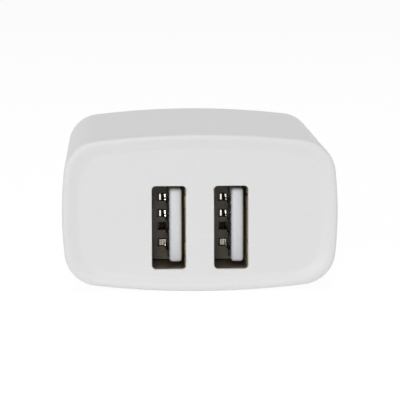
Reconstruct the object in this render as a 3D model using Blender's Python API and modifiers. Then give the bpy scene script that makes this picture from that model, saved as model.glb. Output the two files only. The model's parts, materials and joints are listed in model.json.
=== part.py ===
"""Two-port USB wall charger with a folding two-blade plug.

Lengths are metres. The origin is the centre of the wall face: +Y runs into the wall,
the two ports face -Y, +X is the charger's width and +Z is up.
"""

import math

import bmesh
import bpy
from mathutils import Matrix

# Body
BODY_WIDTH = 0.0412
BODY_HEIGHT = 0.0236
BODY_DEPTH = 0.0480
SIDE_BULGE = 0.00031
TOP_BULGE = 0.00090
CORNER_RADIUS = 0.00520
WALL = 0.0016
FRONT_WALL = 0.0018
FRONT_BLEND_DEPTH = 0.0009
FRONT_BLEND_SIDE = 0.0026
FRONT_BLEND_TOP = 0.0022
REAR_ROUND = 0.0005
RIM_WALL = 0.0009
COVER_THICKNESS = 0.0020

# Clearances between neighbouring pieces
SEAM_GAP = 0.00015
SEAT_GAP = 0.0002
RUN_GAP = 0.0003
MOULD_GAP = 0.0001
BOARD_GAP = 0.0004

# USB ports
PORT_SPACING = 0.0093
PORT_DROP = 0.0022
PORT_WIDTH = 0.00512
PORT_HEIGHT = 0.0125
PORT_CORNER = 0.0006
PORT_DEPTH = 0.0100
WINDOW_LIP = 0.0008
SHELL_THICKNESS = 0.0003
SHELL_LENGTH = 0.0112
SHELL_LEG_WIDTH = 0.0015
SHELL_LEG_THICKNESS = 0.00024
TAB_WINDOW_LENGTH = 0.0048
TAB_WINDOW_HEIGHT = 0.0024
TAB_START = 0.0024
TAB_SPREAD = 0.0070
TAB_GAP = 0.0003
TAB_THICKNESS = 0.00024
TAB_BEND = 0.0003
TONGUE_THICKNESS = 0.00184
TONGUE_HEIGHT = 0.0111
TONGUE_BACK_GAP = 0.00060
TONGUE_RECESS = 0.0032
TONGUE_EDGE = 0.00045
TONGUE_EDGE_STEPS = 3
TONGUE_TENON = 0.0012
CONTACT_PITCH_INNER = 0.0020
CONTACT_PITCH_OUTER = 0.0025
CONTACT_WIDTH = 0.0009
CONTACT_BEAM_WIDTH = 0.0004
CONTACT_THICKNESS = 0.0003
CONTACT_STANDOFF = 0.00034
CONTACT_BOW = 0.00035
CONTACT_BOW_LENGTH = 0.0048
CONTACT_TIP_SINK = 0.0001
CONTACT_TIP_RECESS = 0.0012
CONTACT_ROOT_STANDOFF = 0.00054
CONTACT_ROOT_SETBACK = 0.0001
CONTACT_LEG_STANDOFF = 0.00126
CONTACT_LEG_SETBACKS = (0.0, 0.0, 0.0012, 0.0)
CONTACT_WEB_SETBACKS = (0.0015, 0.0015, 0.0015, 0.0002)
CONTACT_WEB = 0.0005
CONTACT_SLOT_WIDTH = 0.00168
GROOVE_DEPTH = 0.00045

# Circuit boards
BOARD_THICKNESS = 0.0012
UNDER_BOARD = 0.0023
LEAD_RADIUS = 0.0003
LEAD_TAIL = 0.0008
HOLE_MARGIN = 0.0002
EDGE_ROOM = 0.0008
PART_ROOM = 0.0008
BOARD_TAB_WIDTH = 0.0042
BOARD_TAB_SPREAD = 0.0230
RAIL_HEIGHT = 0.0012
RAIL_GRIP = 0.0008
LEDGE_GRIP = 0.0018

# Components on the boards
INPUT_CAP_RADIUS = 0.0040
INPUT_CAP_HEIGHT = 0.0125
OUTPUT_CAP_RADIUS = 0.00315
OUTPUT_CAP_HEIGHT = 0.0110
CAP_EDGE = 0.0004
CAP_GROOVE = 0.0004
CAP_LEAD_PITCH = 0.0030
CHOKE_RADIUS = 0.0030
CHOKE_HEIGHT = 0.0080
CHOKE_FLANGE = 0.0011
CHOKE_WAIST = 0.0015
CORE_WIDTH = 0.0130
CORE_HEIGHT = 0.0118
CORE_DEPTH = 0.0060
CORE_YOKE = 0.0024
CORE_LIMB = 0.0021
CORE_CENTRE = 0.0032
BOBBIN_LENGTH = 0.0106
BOBBIN_WALL = 0.0007
BOBBIN_PIN_PITCH = 0.0025
FUSE_RADIUS = 0.0015
FUSE_LENGTH = 0.0068
FUSE_CAP = 0.0017
DIODE_RADIUS = 0.00135
DIODE_LENGTH = 0.0052
AXIAL_LEAD_REACH = 0.0012
DISC_RADIUS = 0.0034
DISC_THICKNESS = 0.0024
DISC_STAND = 0.0008
RECTIFIER_SIZE = (0.0040, 0.0047, 0.0024)
RECTIFIER_PITCH = 0.0025
OPTO_SIZE = (0.0046, 0.0044, 0.0030)
OPTO_PITCH = 0.00254
CONTROLLER_SIZE = (0.0039, 0.0049, 0.0015)
CONTROLLER_PITCH = 0.00127
CHIP_LEAD_WIDTH = 0.0005
CHIP_LEAD_THICKNESS = 0.0002
CHIP_LEAD_REACH = 0.0009
CHIP_EDGE = 0.00015

# Folding plug
BLADE_SPACING = 0.0127
BLADE_WIDTH = 0.00635
BLADE_THICKNESS = 0.0015
BLADE_REACH = 0.0175
BLADE_TIP_RADIUS = 0.0016
BLADE_EDGE = 0.0002
BLADE_HOLE_RADIUS = 0.0016
BLADE_HOLE_REACH = 0.0117
BLADE_NECK = 0.0032
PIVOT_OFFSET = 0.0060
PIVOT_DEPTH = 0.0036
DRUM_RADIUS = 0.0033
DRUM_SHOULDER = 0.0005
DRUM_FLAT_DEPTH = 0.00015
DRUM_FLAT_LENGTH = 0.0080
JOURNAL_RADIUS = 0.0015
JOURNAL_GAP = 0.00015
WELL_WALL = 0.0012
WELL_FLOOR = 0.0010
BOSS_RADIUS = 0.0020
PILOT_RADIUS = 0.0010
PILOT_END = 0.0006
SCOOP_RADIUS = 0.0070
SCOOP_DEPTH = 0.0013
RETAINER_THICKNESS = 0.0015
LUG_FLARE = 0.0006
SCREW_RADIUS = 0.00085
SCREW_HEAD_RADIUS = 0.0018
SCREW_HEAD_HEIGHT = 0.0012
SCREW_LENGTH = 0.0056
SCREW_HOLE_MARGIN = 0.0003
SPRING_THICKNESS = 0.0004
SPRING_WIDTH = 0.0024
SPRING_PAD = 0.0022
DETENT_THICKNESS = 0.0003
DETENT_LENGTH = 0.0060

# Facets of round surfaces, and the distance within which points are one
WELD = 0.000001
SIDE_STEPS = 6
TOP_STEPS = 10
CORNER_STEPS = 8
BLEND_STEPS = 4
REAR_STEPS = 2
ROUND_STEPS = 24
CAP_STEPS = 16
LEAD_STEPS = 6
BOW_STEPS = 8
TIP_STEPS = 4
SMOOTH_ANGLE = 35.0
BEVEL_ANGLE = 50.0

# Worked out from the sizes above
FRONT_Y = -BODY_DEPTH
CORNER_X = BODY_WIDTH / 2 - SIDE_BULGE - CORNER_RADIUS
CORNER_Z = BODY_HEIGHT / 2 - TOP_BULGE - CORNER_RADIUS
TOP_ARC = (CORNER_X**2 + TOP_BULGE**2) / (2 * TOP_BULGE) + CORNER_RADIUS
SIDE_ARC = (CORNER_Z**2 + SIDE_BULGE**2) / (2 * SIDE_BULGE) + CORNER_RADIUS
TOP_HALF_ANGLE = math.asin(CORNER_X / (TOP_ARC - CORNER_RADIUS))
SIDE_HALF_ANGLE = math.asin(CORNER_Z / (SIDE_ARC - CORNER_RADIUS))

SHELL_FRONT = WINDOW_LIP + SEAM_GAP
SHELL_REAR = SHELL_FRONT + SHELL_LENGTH
TAIL_END = SHELL_REAR + SEAT_GAP + BOARD_THICKNESS + LEAD_TAIL
TONGUE_FACE = PORT_WIDTH / 2 - TONGUE_BACK_GAP - TONGUE_THICKNESS
CONTACT_HEIGHTS = (
    CONTACT_PITCH_INNER / 2 + CONTACT_PITCH_OUTER,
    CONTACT_PITCH_INNER / 2,
    -CONTACT_PITCH_INNER / 2,
    -CONTACT_PITCH_INNER / 2 - CONTACT_PITCH_OUTER,
)
CONTACT_TAIL_STANDOFF = (CONTACT_ROOT_STANDOFF + CONTACT_LEG_STANDOFF) / 2

OUTPUT_BOARD_FRONT = FRONT_Y + SHELL_REAR + SEAT_GAP
OUTPUT_BOARD_REAR = OUTPUT_BOARD_FRONT + BOARD_THICKNESS
BOARD_UNDERSIDE = -BODY_HEIGHT / 2 + WALL + UNDER_BOARD
BOARD_TOP = BOARD_UNDERSIDE + BOARD_THICKNESS
BOARD_FRONT = OUTPUT_BOARD_REAR + LEAD_TAIL + SEAT_GAP

PIVOT_X = -PIVOT_OFFSET
POCKET_HALF = DRUM_RADIUS + RUN_GAP
DRUM_HALF = BLADE_SPACING / 2 + BLADE_THICKNESS / 2 + DRUM_SHOULDER
SLOT_HALF = BLADE_THICKNESS / 2 + RUN_GAP
SLOT_DEPTH = PIVOT_DEPTH + BLADE_WIDTH / 2 + RUN_GAP
SLOT_END = PIVOT_X + PIVOT_DEPTH + BLADE_REACH + RUN_GAP
WELL_DEPTH = SLOT_DEPTH + WELL_FLOOR
WELL_LEFT = PIVOT_X - POCKET_HALF - WELL_WALL
SCREW_OFFSET = POCKET_HALF + WELL_WALL + BOSS_RADIUS - RUN_GAP
RETAINER_FRONT = WELL_DEPTH + SEAT_GAP
RETAINER_REAR = RETAINER_FRONT + RETAINER_THICKNESS
BOARD_REAR = -RETAINER_REAR - BOARD_GAP
SPRING_POST_Y = BOARD_REAR - EDGE_ROOM - SPRING_THICKNESS / 2

UPRIGHT = Matrix.Identity(4)
FACING_Y = Matrix(((1, 0, 0, 0), (0, 0, 1, 0), (0, 1, 0, 0), (0, 0, 0, 1)))
FACING_X = Matrix(((0, 0, 1, 0), (1, 0, 0, 0), (0, 1, 0, 0), (0, 0, 0, 1)))

board_holes = []


def clear_scene():
    """Removes every object that the file holds."""
    for item in list(bpy.data.objects):
        bpy.data.objects.remove(item, do_unlink=True)


def new_collection(name):
    """Returns a new collection linked to the scene."""
    collection = bpy.data.collections.new(name)
    bpy.context.scene.collection.children.link(collection)
    return collection


def finish(name, colour, roughness, metallic=0.0):
    """Returns a Principled BSDF material of one colour."""
    material = bpy.data.materials.new(name)
    material.use_nodes = True
    shader = material.node_tree.nodes["Principled BSDF"]
    shader.inputs["Base Color"].default_value = (*colour, 1.0)
    shader.inputs["Roughness"].default_value = roughness
    shader.inputs["Metallic"].default_value = metallic
    return material


def arc(centre, radius, start, end, steps):
    """Returns the points of an arc in equal steps, both ends included."""
    angles = [start + (end - start) * i / steps for i in range(steps + 1)]
    return [(centre[0] + radius * math.cos(a), centre[1] + radius * math.sin(a)) for a in angles]


def circle(centre, radius, steps):
    """Returns a closed circle's points."""
    return arc(centre, radius, 0.0, 2 * math.pi, steps)[:-1]


def rectangle(width, height, centre=(0.0, 0.0)):
    """Returns the corners of a rectangle."""
    signs = ((-1, -1), (1, -1), (1, 1), (-1, 1))
    return [(centre[0] + sx * width / 2, centre[1] + sy * height / 2) for sx, sy in signs]


def rounded_rectangle(width, height, radius):
    """Returns a rectangle whose corners are arcs."""
    points = []
    for quarter, (sx, sy) in enumerate(((1, 1), (-1, 1), (-1, -1), (1, -1))):
        centre = (sx * (width / 2 - radius), sy * (height / 2 - radius))
        start = quarter * math.pi / 2
        points += arc(centre, radius, start, start + math.pi / 2, TIP_STEPS)
    return points


def strip(points, thickness):
    """Returns the outline of a bent strip of even thickness along a line of points."""
    left = []
    right = []
    last = len(points) - 1
    for i, (x, y) in enumerate(points):
        before = points[max(i - 1, 0)]
        after = points[min(i + 1, last)]
        ahead = math.atan2(after[1] - y, after[0] - x) if i < last else None
        behind = math.atan2(y - before[1], x - before[0]) if i > 0 else ahead
        ahead = behind if ahead is None else ahead
        turn = math.remainder(ahead - behind, 2 * math.pi)
        normal = behind + turn / 2 + math.pi / 2
        reach = thickness / 2 / math.cos(turn / 2)
        left.append((x + reach * math.cos(normal), y + reach * math.sin(normal)))
        right.append((x - reach * math.cos(normal), y - reach * math.sin(normal)))
    return left + right[::-1]


def housing_outline(inset=0.0):
    """Returns the barrel-sided outline: four wide arcs and four corner arcs, moved in by the inset."""
    corner = CORNER_RADIUS - inset
    side_centre = (BODY_WIDTH / 2 - SIDE_ARC, 0.0)
    top_centre = (0.0, BODY_HEIGHT / 2 - TOP_ARC)
    top_start = math.pi / 2 - TOP_HALF_ANGLE
    top_end = math.pi / 2 + TOP_HALF_ANGLE
    left_start = math.pi - SIDE_HALF_ANGLE
    half = arc(side_centre, SIDE_ARC - inset, -SIDE_HALF_ANGLE, SIDE_HALF_ANGLE, SIDE_STEPS)[:-1]
    half += arc((CORNER_X, CORNER_Z), corner, SIDE_HALF_ANGLE, top_start, CORNER_STEPS)[:-1]
    half += arc(top_centre, TOP_ARC - inset, top_start, top_end, TOP_STEPS)[:-1]
    half += arc((-CORNER_X, CORNER_Z), corner, top_end, left_start, CORNER_STEPS)[:-1]
    return half + [(-x, -z) for x, z in half]


def crown_height(x, inset):
    """Returns half the body's height at x, measured inside the given inset."""
    radius = TOP_ARC - inset
    if abs(x) <= radius * math.sin(TOP_HALF_ANGLE):
        return BODY_HEIGHT / 2 - TOP_ARC + math.sqrt(radius**2 - x**2)
    return CORNER_Z + math.sqrt((CORNER_RADIUS - inset) ** 2 - (abs(x) - CORNER_X) ** 2)


def half_width_at(z, inset):
    """Returns half the body's width at height z, measured inside the given inset."""
    radius = SIDE_ARC - inset
    if abs(z) <= radius * math.sin(SIDE_HALF_ANGLE):
        return BODY_WIDTH / 2 - SIDE_ARC + math.sqrt(radius**2 - z**2)
    return CORNER_X + math.sqrt((CORNER_RADIUS - inset) ** 2 - (abs(z) - CORNER_Z) ** 2)


BOARD_HALF = half_width_at(BOARD_UNDERSIDE, WALL) - BOARD_GAP
BEARING_END = crown_height(WELL_LEFT, WALL) - RUN_GAP


def closed_mesh(name, bm, smooth=False):
    """Turns a bmesh into a mesh with outward faces; a round one is smooth except at its sharp edges."""
    bmesh.ops.recalc_face_normals(bm, faces=bm.faces)
    mesh = bpy.data.meshes.new(name)
    bm.to_mesh(mesh)
    bm.free()
    if smooth:
        mesh.shade_smooth()
        mesh.set_sharp_from_angle(angle=math.radians(SMOOTH_ANGLE))
    return mesh


def box(name, low, high):
    """Returns a box between two corners."""
    size = [b - a for a, b in zip(low, high)]
    centre = [(a + b) / 2 for a, b in zip(low, high)]
    bm = bmesh.new()
    bmesh.ops.create_cube(bm, size=1.0, matrix=Matrix.Translation(centre) @ Matrix.Diagonal((*size, 1.0)))
    return closed_mesh(name, bm)


def mirrored_box(name, low, high, side):
    """Returns a box given on the +X side, or its mirror image on the -X side."""
    if side > 0:
        return box(name, low, high)
    return box(name, (-high[0], low[1], low[2]), (-low[0], high[1], high[2]))


def rod(name, radius, low, high, steps, centre=(0.0, 0.0), turn=UPRIGHT):
    """Returns a round rod along the turned Z axis, from low to high on that axis."""
    bm = bmesh.new()
    place = turn @ Matrix.Translation((*centre, (low + high) / 2))
    size = {"radius1": radius, "radius2": radius, "depth": high - low}
    bmesh.ops.create_cone(bm, cap_ends=True, segments=steps, matrix=place, **size)
    return closed_mesh(name, bm, smooth=True)


def curve_mesh(name, curve):
    """Returns a curve's evaluated surface as a welded mesh."""
    holder = bpy.data.objects.new(name, curve)
    bpy.context.scene.collection.objects.link(holder)
    evaluated = holder.evaluated_get(bpy.context.evaluated_depsgraph_get())
    mesh = bpy.data.meshes.new_from_object(evaluated)
    bm = bmesh.new()
    bm.from_mesh(mesh)
    bmesh.ops.remove_doubles(bm, verts=bm.verts, dist=WELD)
    bpy.data.objects.remove(holder)
    bpy.data.meshes.remove(mesh)
    return bm


def prism(name, outlines, low, high, turn=UPRIGHT):
    """Returns a flat outline, with any inner outlines as holes, extruded along the turned Z axis."""
    curve = bpy.data.curves.new(name, "CURVE")
    curve.dimensions = "2D"
    curve.fill_mode = "BOTH"
    curve.extrude = (high - low) / 2
    for outline in outlines:
        spline = curve.splines.new("POLY")
        spline.points.add(len(outline) - 1)
        spline.use_cyclic_u = True
        for point, (u, v) in zip(spline.points, outline):
            point.co = (u, v, 0.0, 1.0)
    bm = curve_mesh(name, curve)
    bm.transform(turn @ Matrix.Translation((0.0, 0.0, (low + high) / 2)))
    return closed_mesh(name, bm)


def wire(name, points, radius):
    """Returns a round wire along straight runs of points."""
    curve = bpy.data.curves.new(name, "CURVE")
    curve.dimensions = "3D"
    curve.bevel_depth = radius
    curve.bevel_resolution = 1
    curve.use_fill_caps = True
    spline = curve.splines.new("POLY")
    spline.points.add(len(points) - 1)
    for point, position in zip(spline.points, points):
        point.co = (*position, 1.0)
    return closed_mesh(name, curve_mesh(name, curve), smooth=True)


def loft(name, rings):
    """Returns a skin through rings of equally many points, capped on the first and the last ring."""
    bm = bmesh.new()
    loops = [[bm.verts.new(point) for point in ring] for ring in rings]
    for low, high in zip(loops, loops[1:]):
        for i in range(len(low)):
            bm.faces.new((low[i - 1], low[i], high[i], high[i - 1]))
    bm.faces.new(loops[0])
    bm.faces.new(loops[-1])
    return closed_mesh(name, bm, smooth=True)


def gather(name, meshes):
    """Returns one mesh that holds several separate bodies."""
    bm = bmesh.new()
    for mesh in meshes:
        bm.from_mesh(mesh)
    return closed_mesh(name, bm)


def add_part(name, mesh, material, location=(0.0, 0.0, 0.0), parent=None):
    """Adds a named piece to the charger."""
    part = bpy.data.objects.new(name, mesh)
    parts.objects.link(part)
    part.location = location
    part.parent = parent or charger
    mesh.materials.append(material)
    return part


def add_turned(name, profile, material, location, steps, parent=None, closed=False):
    """Adds a piece turned about its own Z axis from a profile that runs down its outer side."""
    mesh = bpy.data.meshes.new(name)
    last = len(profile) - 1
    edges = [(i, i + 1) for i in range(last)] + ([(last, 0)] if closed else [])
    mesh.from_pydata([(r, 0.0, z) for r, z in profile], edges, [])
    part = add_part(name, mesh, material, location, parent)
    screw = part.modifiers.new("Turn", "SCREW")
    screw.steps = steps
    screw.render_steps = steps
    screw.use_merge_vertices = True
    screw.merge_threshold = WELD
    return part


def combine(part, mesh, operation):
    """Cuts the part by a mesh, or joins it with one, in the part's own coordinates."""
    tool = bpy.data.objects.new(mesh.name, mesh)
    cutters.objects.link(tool)
    tool.parent = part
    tool.hide_render = True
    tool.display_type = "WIRE"
    modifier = part.modifiers.new(mesh.name, "BOOLEAN")
    modifier.operation = operation
    modifier.object = tool


def cut(part, mesh):
    """Takes a mesh away from the part."""
    combine(part, mesh, "DIFFERENCE")


def join(part, mesh):
    """Adds a mesh to the part."""
    combine(part, mesh, "UNION")


def round_edges(part, width, segments=1):
    """Rounds the part's sharp edges."""
    bevel = part.modifiers.new("Edges", "BEVEL")
    bevel.width = width
    bevel.segments = segments
    bevel.limit_method = "ANGLE"
    bevel.angle_limit = math.radians(BEVEL_ANGLE)


def add_empty(name, location, parent=None):
    """Adds an empty that carries a group of pieces."""
    empty = bpy.data.objects.new(name, None)
    parts.objects.link(empty)
    empty.location = location
    empty.parent = parent
    return empty


def ring_at(outline, y):
    """Returns an outline's points at depth y."""
    return [(x, y, z) for x, z in outline]


def build_housing():
    """The moulded cup: blended front edge, thin rear rim, cavity, socket windows and board rails."""
    outer = housing_outline()
    rings = []
    for step in range(BLEND_STEPS + 1):
        angle = math.pi / 2 * step / BLEND_STEPS
        shrink = 1.0 - math.sin(angle)
        scale_x = 1.0 - shrink * FRONT_BLEND_SIDE / (BODY_WIDTH / 2)
        scale_z = 1.0 - shrink * FRONT_BLEND_TOP / (BODY_HEIGHT / 2)
        depth = FRONT_BLEND_DEPTH * (1.0 - math.cos(angle))
        rings.append(ring_at([(x * scale_x, z * scale_z) for x, z in outer], FRONT_Y + depth))
    for step in range(REAR_STEPS + 1):
        angle = math.pi / 2 * step / REAR_STEPS
        inset = REAR_ROUND * (1.0 - math.cos(angle))
        rings.append(ring_at(housing_outline(inset), -REAR_ROUND * (1.0 - math.sin(angle))))
    step_y = -COVER_THICKNESS - SEAM_GAP
    rings.append(ring_at(housing_outline(RIM_WALL), 0.0))
    rings.append(ring_at(housing_outline(RIM_WALL), step_y))
    rings.append(ring_at(housing_outline(WALL), step_y))
    rings.append(ring_at(housing_outline(WALL), FRONT_Y + FRONT_WALL))
    housing = add_part("housing", loft("housing", rings), WHITE_SHELL)
    rail_front = OUTPUT_BOARD_REAR + BOARD_GAP
    ledge_in = BOARD_HALF - LEDGE_GRIP
    ledge_top = BOARD_UNDERSIDE - SEAT_GAP
    sunk = CORNER_RADIUS - WALL / 2
    low_end = -math.acos((ledge_in - CORNER_X) / sunk)
    high_end = math.asin((ledge_top + CORNER_Z) / sunk)
    ledge = [(ledge_in, ledge_top), *arc((CORNER_X, -CORNER_Z), sunk, low_end, high_end, CORNER_STEPS)]
    rail_low = BOARD_TOP + SEAT_GAP
    for side, name in ((-1, "left"), (1, "right")):
        bed = [(side * x, z) for x, z in ledge]
        join(housing, prism("board_ledge_" + name, [bed], rail_front, BOARD_REAR, FACING_Y))
        low = (BOARD_HALF - RAIL_GRIP, rail_front, rail_low)
        high = (half_width_at(rail_low, WALL / 2), BOARD_REAR, rail_low + RAIL_HEIGHT)
        join(housing, mirrored_box("board_rail_" + name, low, high, side))
    seat_width = PORT_WIDTH + 2 * SHELL_THICKNESS + 2 * SEAM_GAP
    seat_height = PORT_HEIGHT + 2 * SHELL_THICKNESS + 2 * SEAM_GAP
    window = rounded_rectangle(PORT_WIDTH, PORT_HEIGHT, PORT_CORNER)
    seat = rounded_rectangle(seat_width, seat_height, PORT_CORNER + SHELL_THICKNESS)
    inside = FRONT_Y + FRONT_WALL + WALL
    for side, name in ((-1, "a"), (1, "b")):
        x = side * PORT_SPACING / 2
        opening = [(x + u, v - PORT_DROP) for u, v in window]
        pocket = [(x + u, v - PORT_DROP) for u, v in seat]
        cut(housing, prism("window_" + name, [opening], FRONT_Y - WALL, inside, FACING_Y))
        cut(housing, prism("seat_" + name, [pocket], FRONT_Y + WINDOW_LIP, inside, FACING_Y))


def contact_outline(leg_front, web_front):
    """The contact's side view: a bowed beam on a root, and a short leg, on one web with a tail behind."""
    half = CONTACT_THICKNESS / 2
    tip = TONGUE_RECESS + CONTACT_TIP_RECESS
    beam = []
    for step in range(BOW_STEPS + 1):
        share = step / BOW_STEPS
        level = CONTACT_STANDOFF * share - CONTACT_TIP_SINK * (1.0 - share)
        beam.append((level + CONTACT_BOW * math.sin(math.pi * share), tip + CONTACT_BOW_LENGTH * share))
    beam.append((CONTACT_ROOT_STANDOFF, PORT_DEPTH))
    web_rear = web_front + CONTACT_WEB
    points = [(CONTACT_TAIL_STANDOFF - half, TAIL_END), (CONTACT_TAIL_STANDOFF - half, web_rear)]
    points += [(CONTACT_ROOT_STANDOFF - half, web_rear)]
    points += [(stand - half, depth) for stand, depth in reversed(beam)]
    points += [(stand + half, depth) for stand, depth in beam]
    points += [(CONTACT_ROOT_STANDOFF + half, web_front), (CONTACT_LEG_STANDOFF - half, web_front)]
    points += [(CONTACT_LEG_STANDOFF - half, leg_front), (CONTACT_LEG_STANDOFF + half, leg_front)]
    points += [(CONTACT_LEG_STANDOFF + half, web_rear), (CONTACT_TAIL_STANDOFF + half, web_rear)]
    points += [(CONTACT_TAIL_STANDOFF + half, TAIL_END)]
    return [(TONGUE_FACE - stand, depth) for stand, depth in points]


def build_contact(name, number, level, port):
    """One contact strip, narrowed in front of the shoulder on its root to the spring beam."""
    leg_front = PORT_DEPTH + CONTACT_LEG_SETBACKS[number - 1]
    web_front = PORT_DEPTH + CONTACT_WEB_SETBACKS[number - 1]
    half = CONTACT_WIDTH / 2
    blank = prism(name, [contact_outline(leg_front, web_front)], -half, half)
    contact = add_part(name, blank, PLATED_CONTACT, (0.0, 0.0, level), port)
    between = (CONTACT_ROOT_STANDOFF + CONTACT_LEG_STANDOFF) / 2
    low = (TONGUE_FACE - between, 0.0, CONTACT_BEAM_WIDTH - half)
    high = (TONGUE_FACE + WALL, PORT_DEPTH + CONTACT_ROOT_SETBACK, CONTACT_WIDTH)
    cut(contact, box(name + "_shoulder", low, high))


def spring_tab(name, side, height):
    """Returns a tab of the receptacle's wall that leans in from the rear end of its window."""
    wall = PORT_WIDTH / 2 + SHELL_THICKNESS / 2
    root = TAB_START + TAB_WINDOW_LENGTH
    tip = TAB_START + TAB_GAP
    third = (root - tip) / 3
    line = [(wall, root + TAB_GAP), (wall, root - third), (wall - TAB_BEND, tip + third), (wall, tip)]
    half = TAB_WINDOW_HEIGHT / 2 - TAB_GAP
    outline = strip([(side * x, y) for x, y in line], TAB_THICKNESS)
    return prism(name, [outline], height - half, height + half)


def build_port(letter, x):
    """One upright USB receptacle: sheet shell, insulator base, tongue and four contacts."""
    name = "port_" + letter
    port = add_empty(name, (x, FRONT_Y, -PORT_DROP), charger)

    sheet = 2 * SHELL_THICKNESS
    outer = rounded_rectangle(PORT_WIDTH + sheet, PORT_HEIGHT + sheet, PORT_CORNER + SHELL_THICKNESS)
    inner = rounded_rectangle(PORT_WIDTH, PORT_HEIGHT, PORT_CORNER)
    tube = prism(name + "_shell", [outer, inner], SHELL_FRONT, SHELL_REAR, FACING_Y)
    shell = add_part(name + "_shell", tube, PORT_STEEL, parent=port)
    reach = PORT_WIDTH / 2 + 2 * SHELL_THICKNESS
    half_window = TAB_WINDOW_HEIGHT / 2
    windows = []
    tabs = []
    for level in (-TAB_SPREAD / 2, TAB_SPREAD / 2):
        low = (-reach, TAB_START, level - half_window)
        windows.append(box("window", low, (reach, TAB_START + TAB_WINDOW_LENGTH, level + half_window)))
        tabs += [spring_tab("tab", side, level) for side in (-1, 1)]
    cut(shell, gather(name + "_tab_windows", windows))
    join(shell, gather(name + "_spring_tabs", tabs))
    legs = []
    leg_half = SHELL_LEG_THICKNESS / 2
    for side in (-1, 1):
        middle = side * (PORT_HEIGHT + SHELL_THICKNESS) / 2
        low = (-SHELL_LEG_WIDTH / 2, SHELL_REAR - SHELL_LEG_WIDTH, middle - leg_half)
        legs.append(box("leg", low, (SHELL_LEG_WIDTH / 2, TAIL_END, middle + leg_half)))
    join(shell, gather(name + "_legs", legs))

    block = rounded_rectangle(PORT_WIDTH - 2 * SEAM_GAP, PORT_HEIGHT - 2 * SEAM_GAP, PORT_CORNER)
    body = prism(name + "_base", [block], PORT_DEPTH, SHELL_REAR, FACING_Y)
    base = add_part(name + "_base", body, BASE_PLASTIC, parent=port)
    slots = []
    slot_half = CONTACT_WIDTH / 2 + SEAM_GAP
    for level in CONTACT_HEIGHTS:
        low = (TONGUE_FACE - CONTACT_SLOT_WIDTH, PORT_DEPTH - WALL, level - slot_half)
        slots.append(box("slot", low, (TONGUE_FACE, SHELL_REAR + WALL, level + slot_half)))
    cut(base, gather(name + "_contact_slots", slots))
    tenon_end = PORT_DEPTH + TONGUE_TENON
    tongue_back = TONGUE_FACE + TONGUE_THICKNESS
    pocket_half = TONGUE_HEIGHT / 2 + SEAM_GAP
    low = (TONGUE_FACE - SEAM_GAP, PORT_DEPTH - WALL, -pocket_half)
    cut(base, box(name + "_tenon_pocket", low, (tongue_back + SEAM_GAP, tenon_end + SEAM_GAP, pocket_half)))

    low = (TONGUE_FACE, TONGUE_RECESS, -TONGUE_HEIGHT / 2)
    bar = box(name + "_tongue", low, (tongue_back, tenon_end, TONGUE_HEIGHT / 2))
    tongue = add_part(name + "_tongue", bar, WHITE_TONGUE, parent=port)
    round_edges(tongue, TONGUE_EDGE, TONGUE_EDGE_STEPS)
    grooves = []
    groove_half = CONTACT_WIDTH / 2 + MOULD_GAP
    groove_front = TONGUE_RECESS + CONTACT_TIP_RECESS - MOULD_GAP
    for level in CONTACT_HEIGHTS:
        low = (TONGUE_FACE - WALL, groove_front, level - groove_half)
        high = (TONGUE_FACE + GROOVE_DEPTH, tenon_end + WALL, level + groove_half)
        grooves.append(box("groove", low, high))
    cut(tongue, gather(name + "_grooves", grooves))

    for number, level in enumerate(CONTACT_HEIGHTS, start=1):
        build_contact(f"{name}_contact_{number}", number, level, port)


def build_output_board():
    """The upright board behind the ports, as wide as the case, slotted for tails and board tabs."""
    blank = housing_outline(WALL + BOARD_GAP)
    mesh = prism("output_board", [blank], 0.0, BOARD_THICKNESS, FACING_Y)
    board = add_part("output_board", mesh, GREEN_BOARD, (0.0, OUTPUT_BOARD_FRONT, 0.0))
    holes = []
    extra = 2 * HOLE_MARGIN
    for side in (-1, 1):
        x = side * PORT_SPACING / 2
        for level in CONTACT_HEIGHTS:
            centre = (x + TONGUE_FACE - CONTACT_TAIL_STANDOFF, level - PORT_DROP)
            holes.append(rectangle(CONTACT_THICKNESS + extra, CONTACT_WIDTH + extra, centre))
        for edge in (-1, 1):
            centre = (x, edge * (PORT_HEIGHT + SHELL_THICKNESS) / 2 - PORT_DROP)
            holes.append(rectangle(SHELL_LEG_WIDTH + extra, SHELL_LEG_THICKNESS + extra, centre))
        centre = (side * BOARD_TAB_SPREAD / 2, (BOARD_UNDERSIDE + BOARD_TOP) / 2)
        holes.append(rectangle(BOARD_TAB_WIDTH + extra, BOARD_THICKNESS + extra, centre))
    cutters_through = [prism("hole", [hole], -WALL, BOARD_THICKNESS + WALL, FACING_Y) for hole in holes]
    cut(board, gather("output_board_holes", cutters_through))


def build_main_board():
    """The flat board on the housing's ledges, with two front tabs and a hole for every lead."""
    low = (-BOARD_HALF, OUTPUT_BOARD_FRONT, 0.0)
    blank = box("main_board", low, (BOARD_HALF, BOARD_REAR, BOARD_THICKNESS))
    board = add_part("main_board", blank, GREEN_BOARD, (0.0, 0.0, BOARD_UNDERSIDE))
    tab_in = BOARD_TAB_SPREAD / 2 - BOARD_TAB_WIDTH / 2
    tab_out = BOARD_TAB_SPREAD / 2 + BOARD_TAB_WIDTH / 2
    bites = []
    for left, right in ((-BOARD_HALF - WALL, -tab_out), (-tab_in, tab_in), (tab_out, BOARD_HALF + WALL)):
        low = (left, OUTPUT_BOARD_FRONT - WALL, -WALL)
        bites.append(box("bite", low, (right, BOARD_FRONT, BOARD_THICKNESS + WALL)))
    cut(board, gather("front_bites", bites))
    holes = [prism("hole", [hole], -WALL, BOARD_THICKNESS + WALL) for hole in board_holes]
    cut(board, gather("main_board_holes", holes))


def lead_hole(x, y):
    """Notes a round hole in the main board for a lead."""
    board_holes.append(circle((x, y), LEAD_RADIUS + HOLE_MARGIN, LEAD_STEPS))


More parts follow.
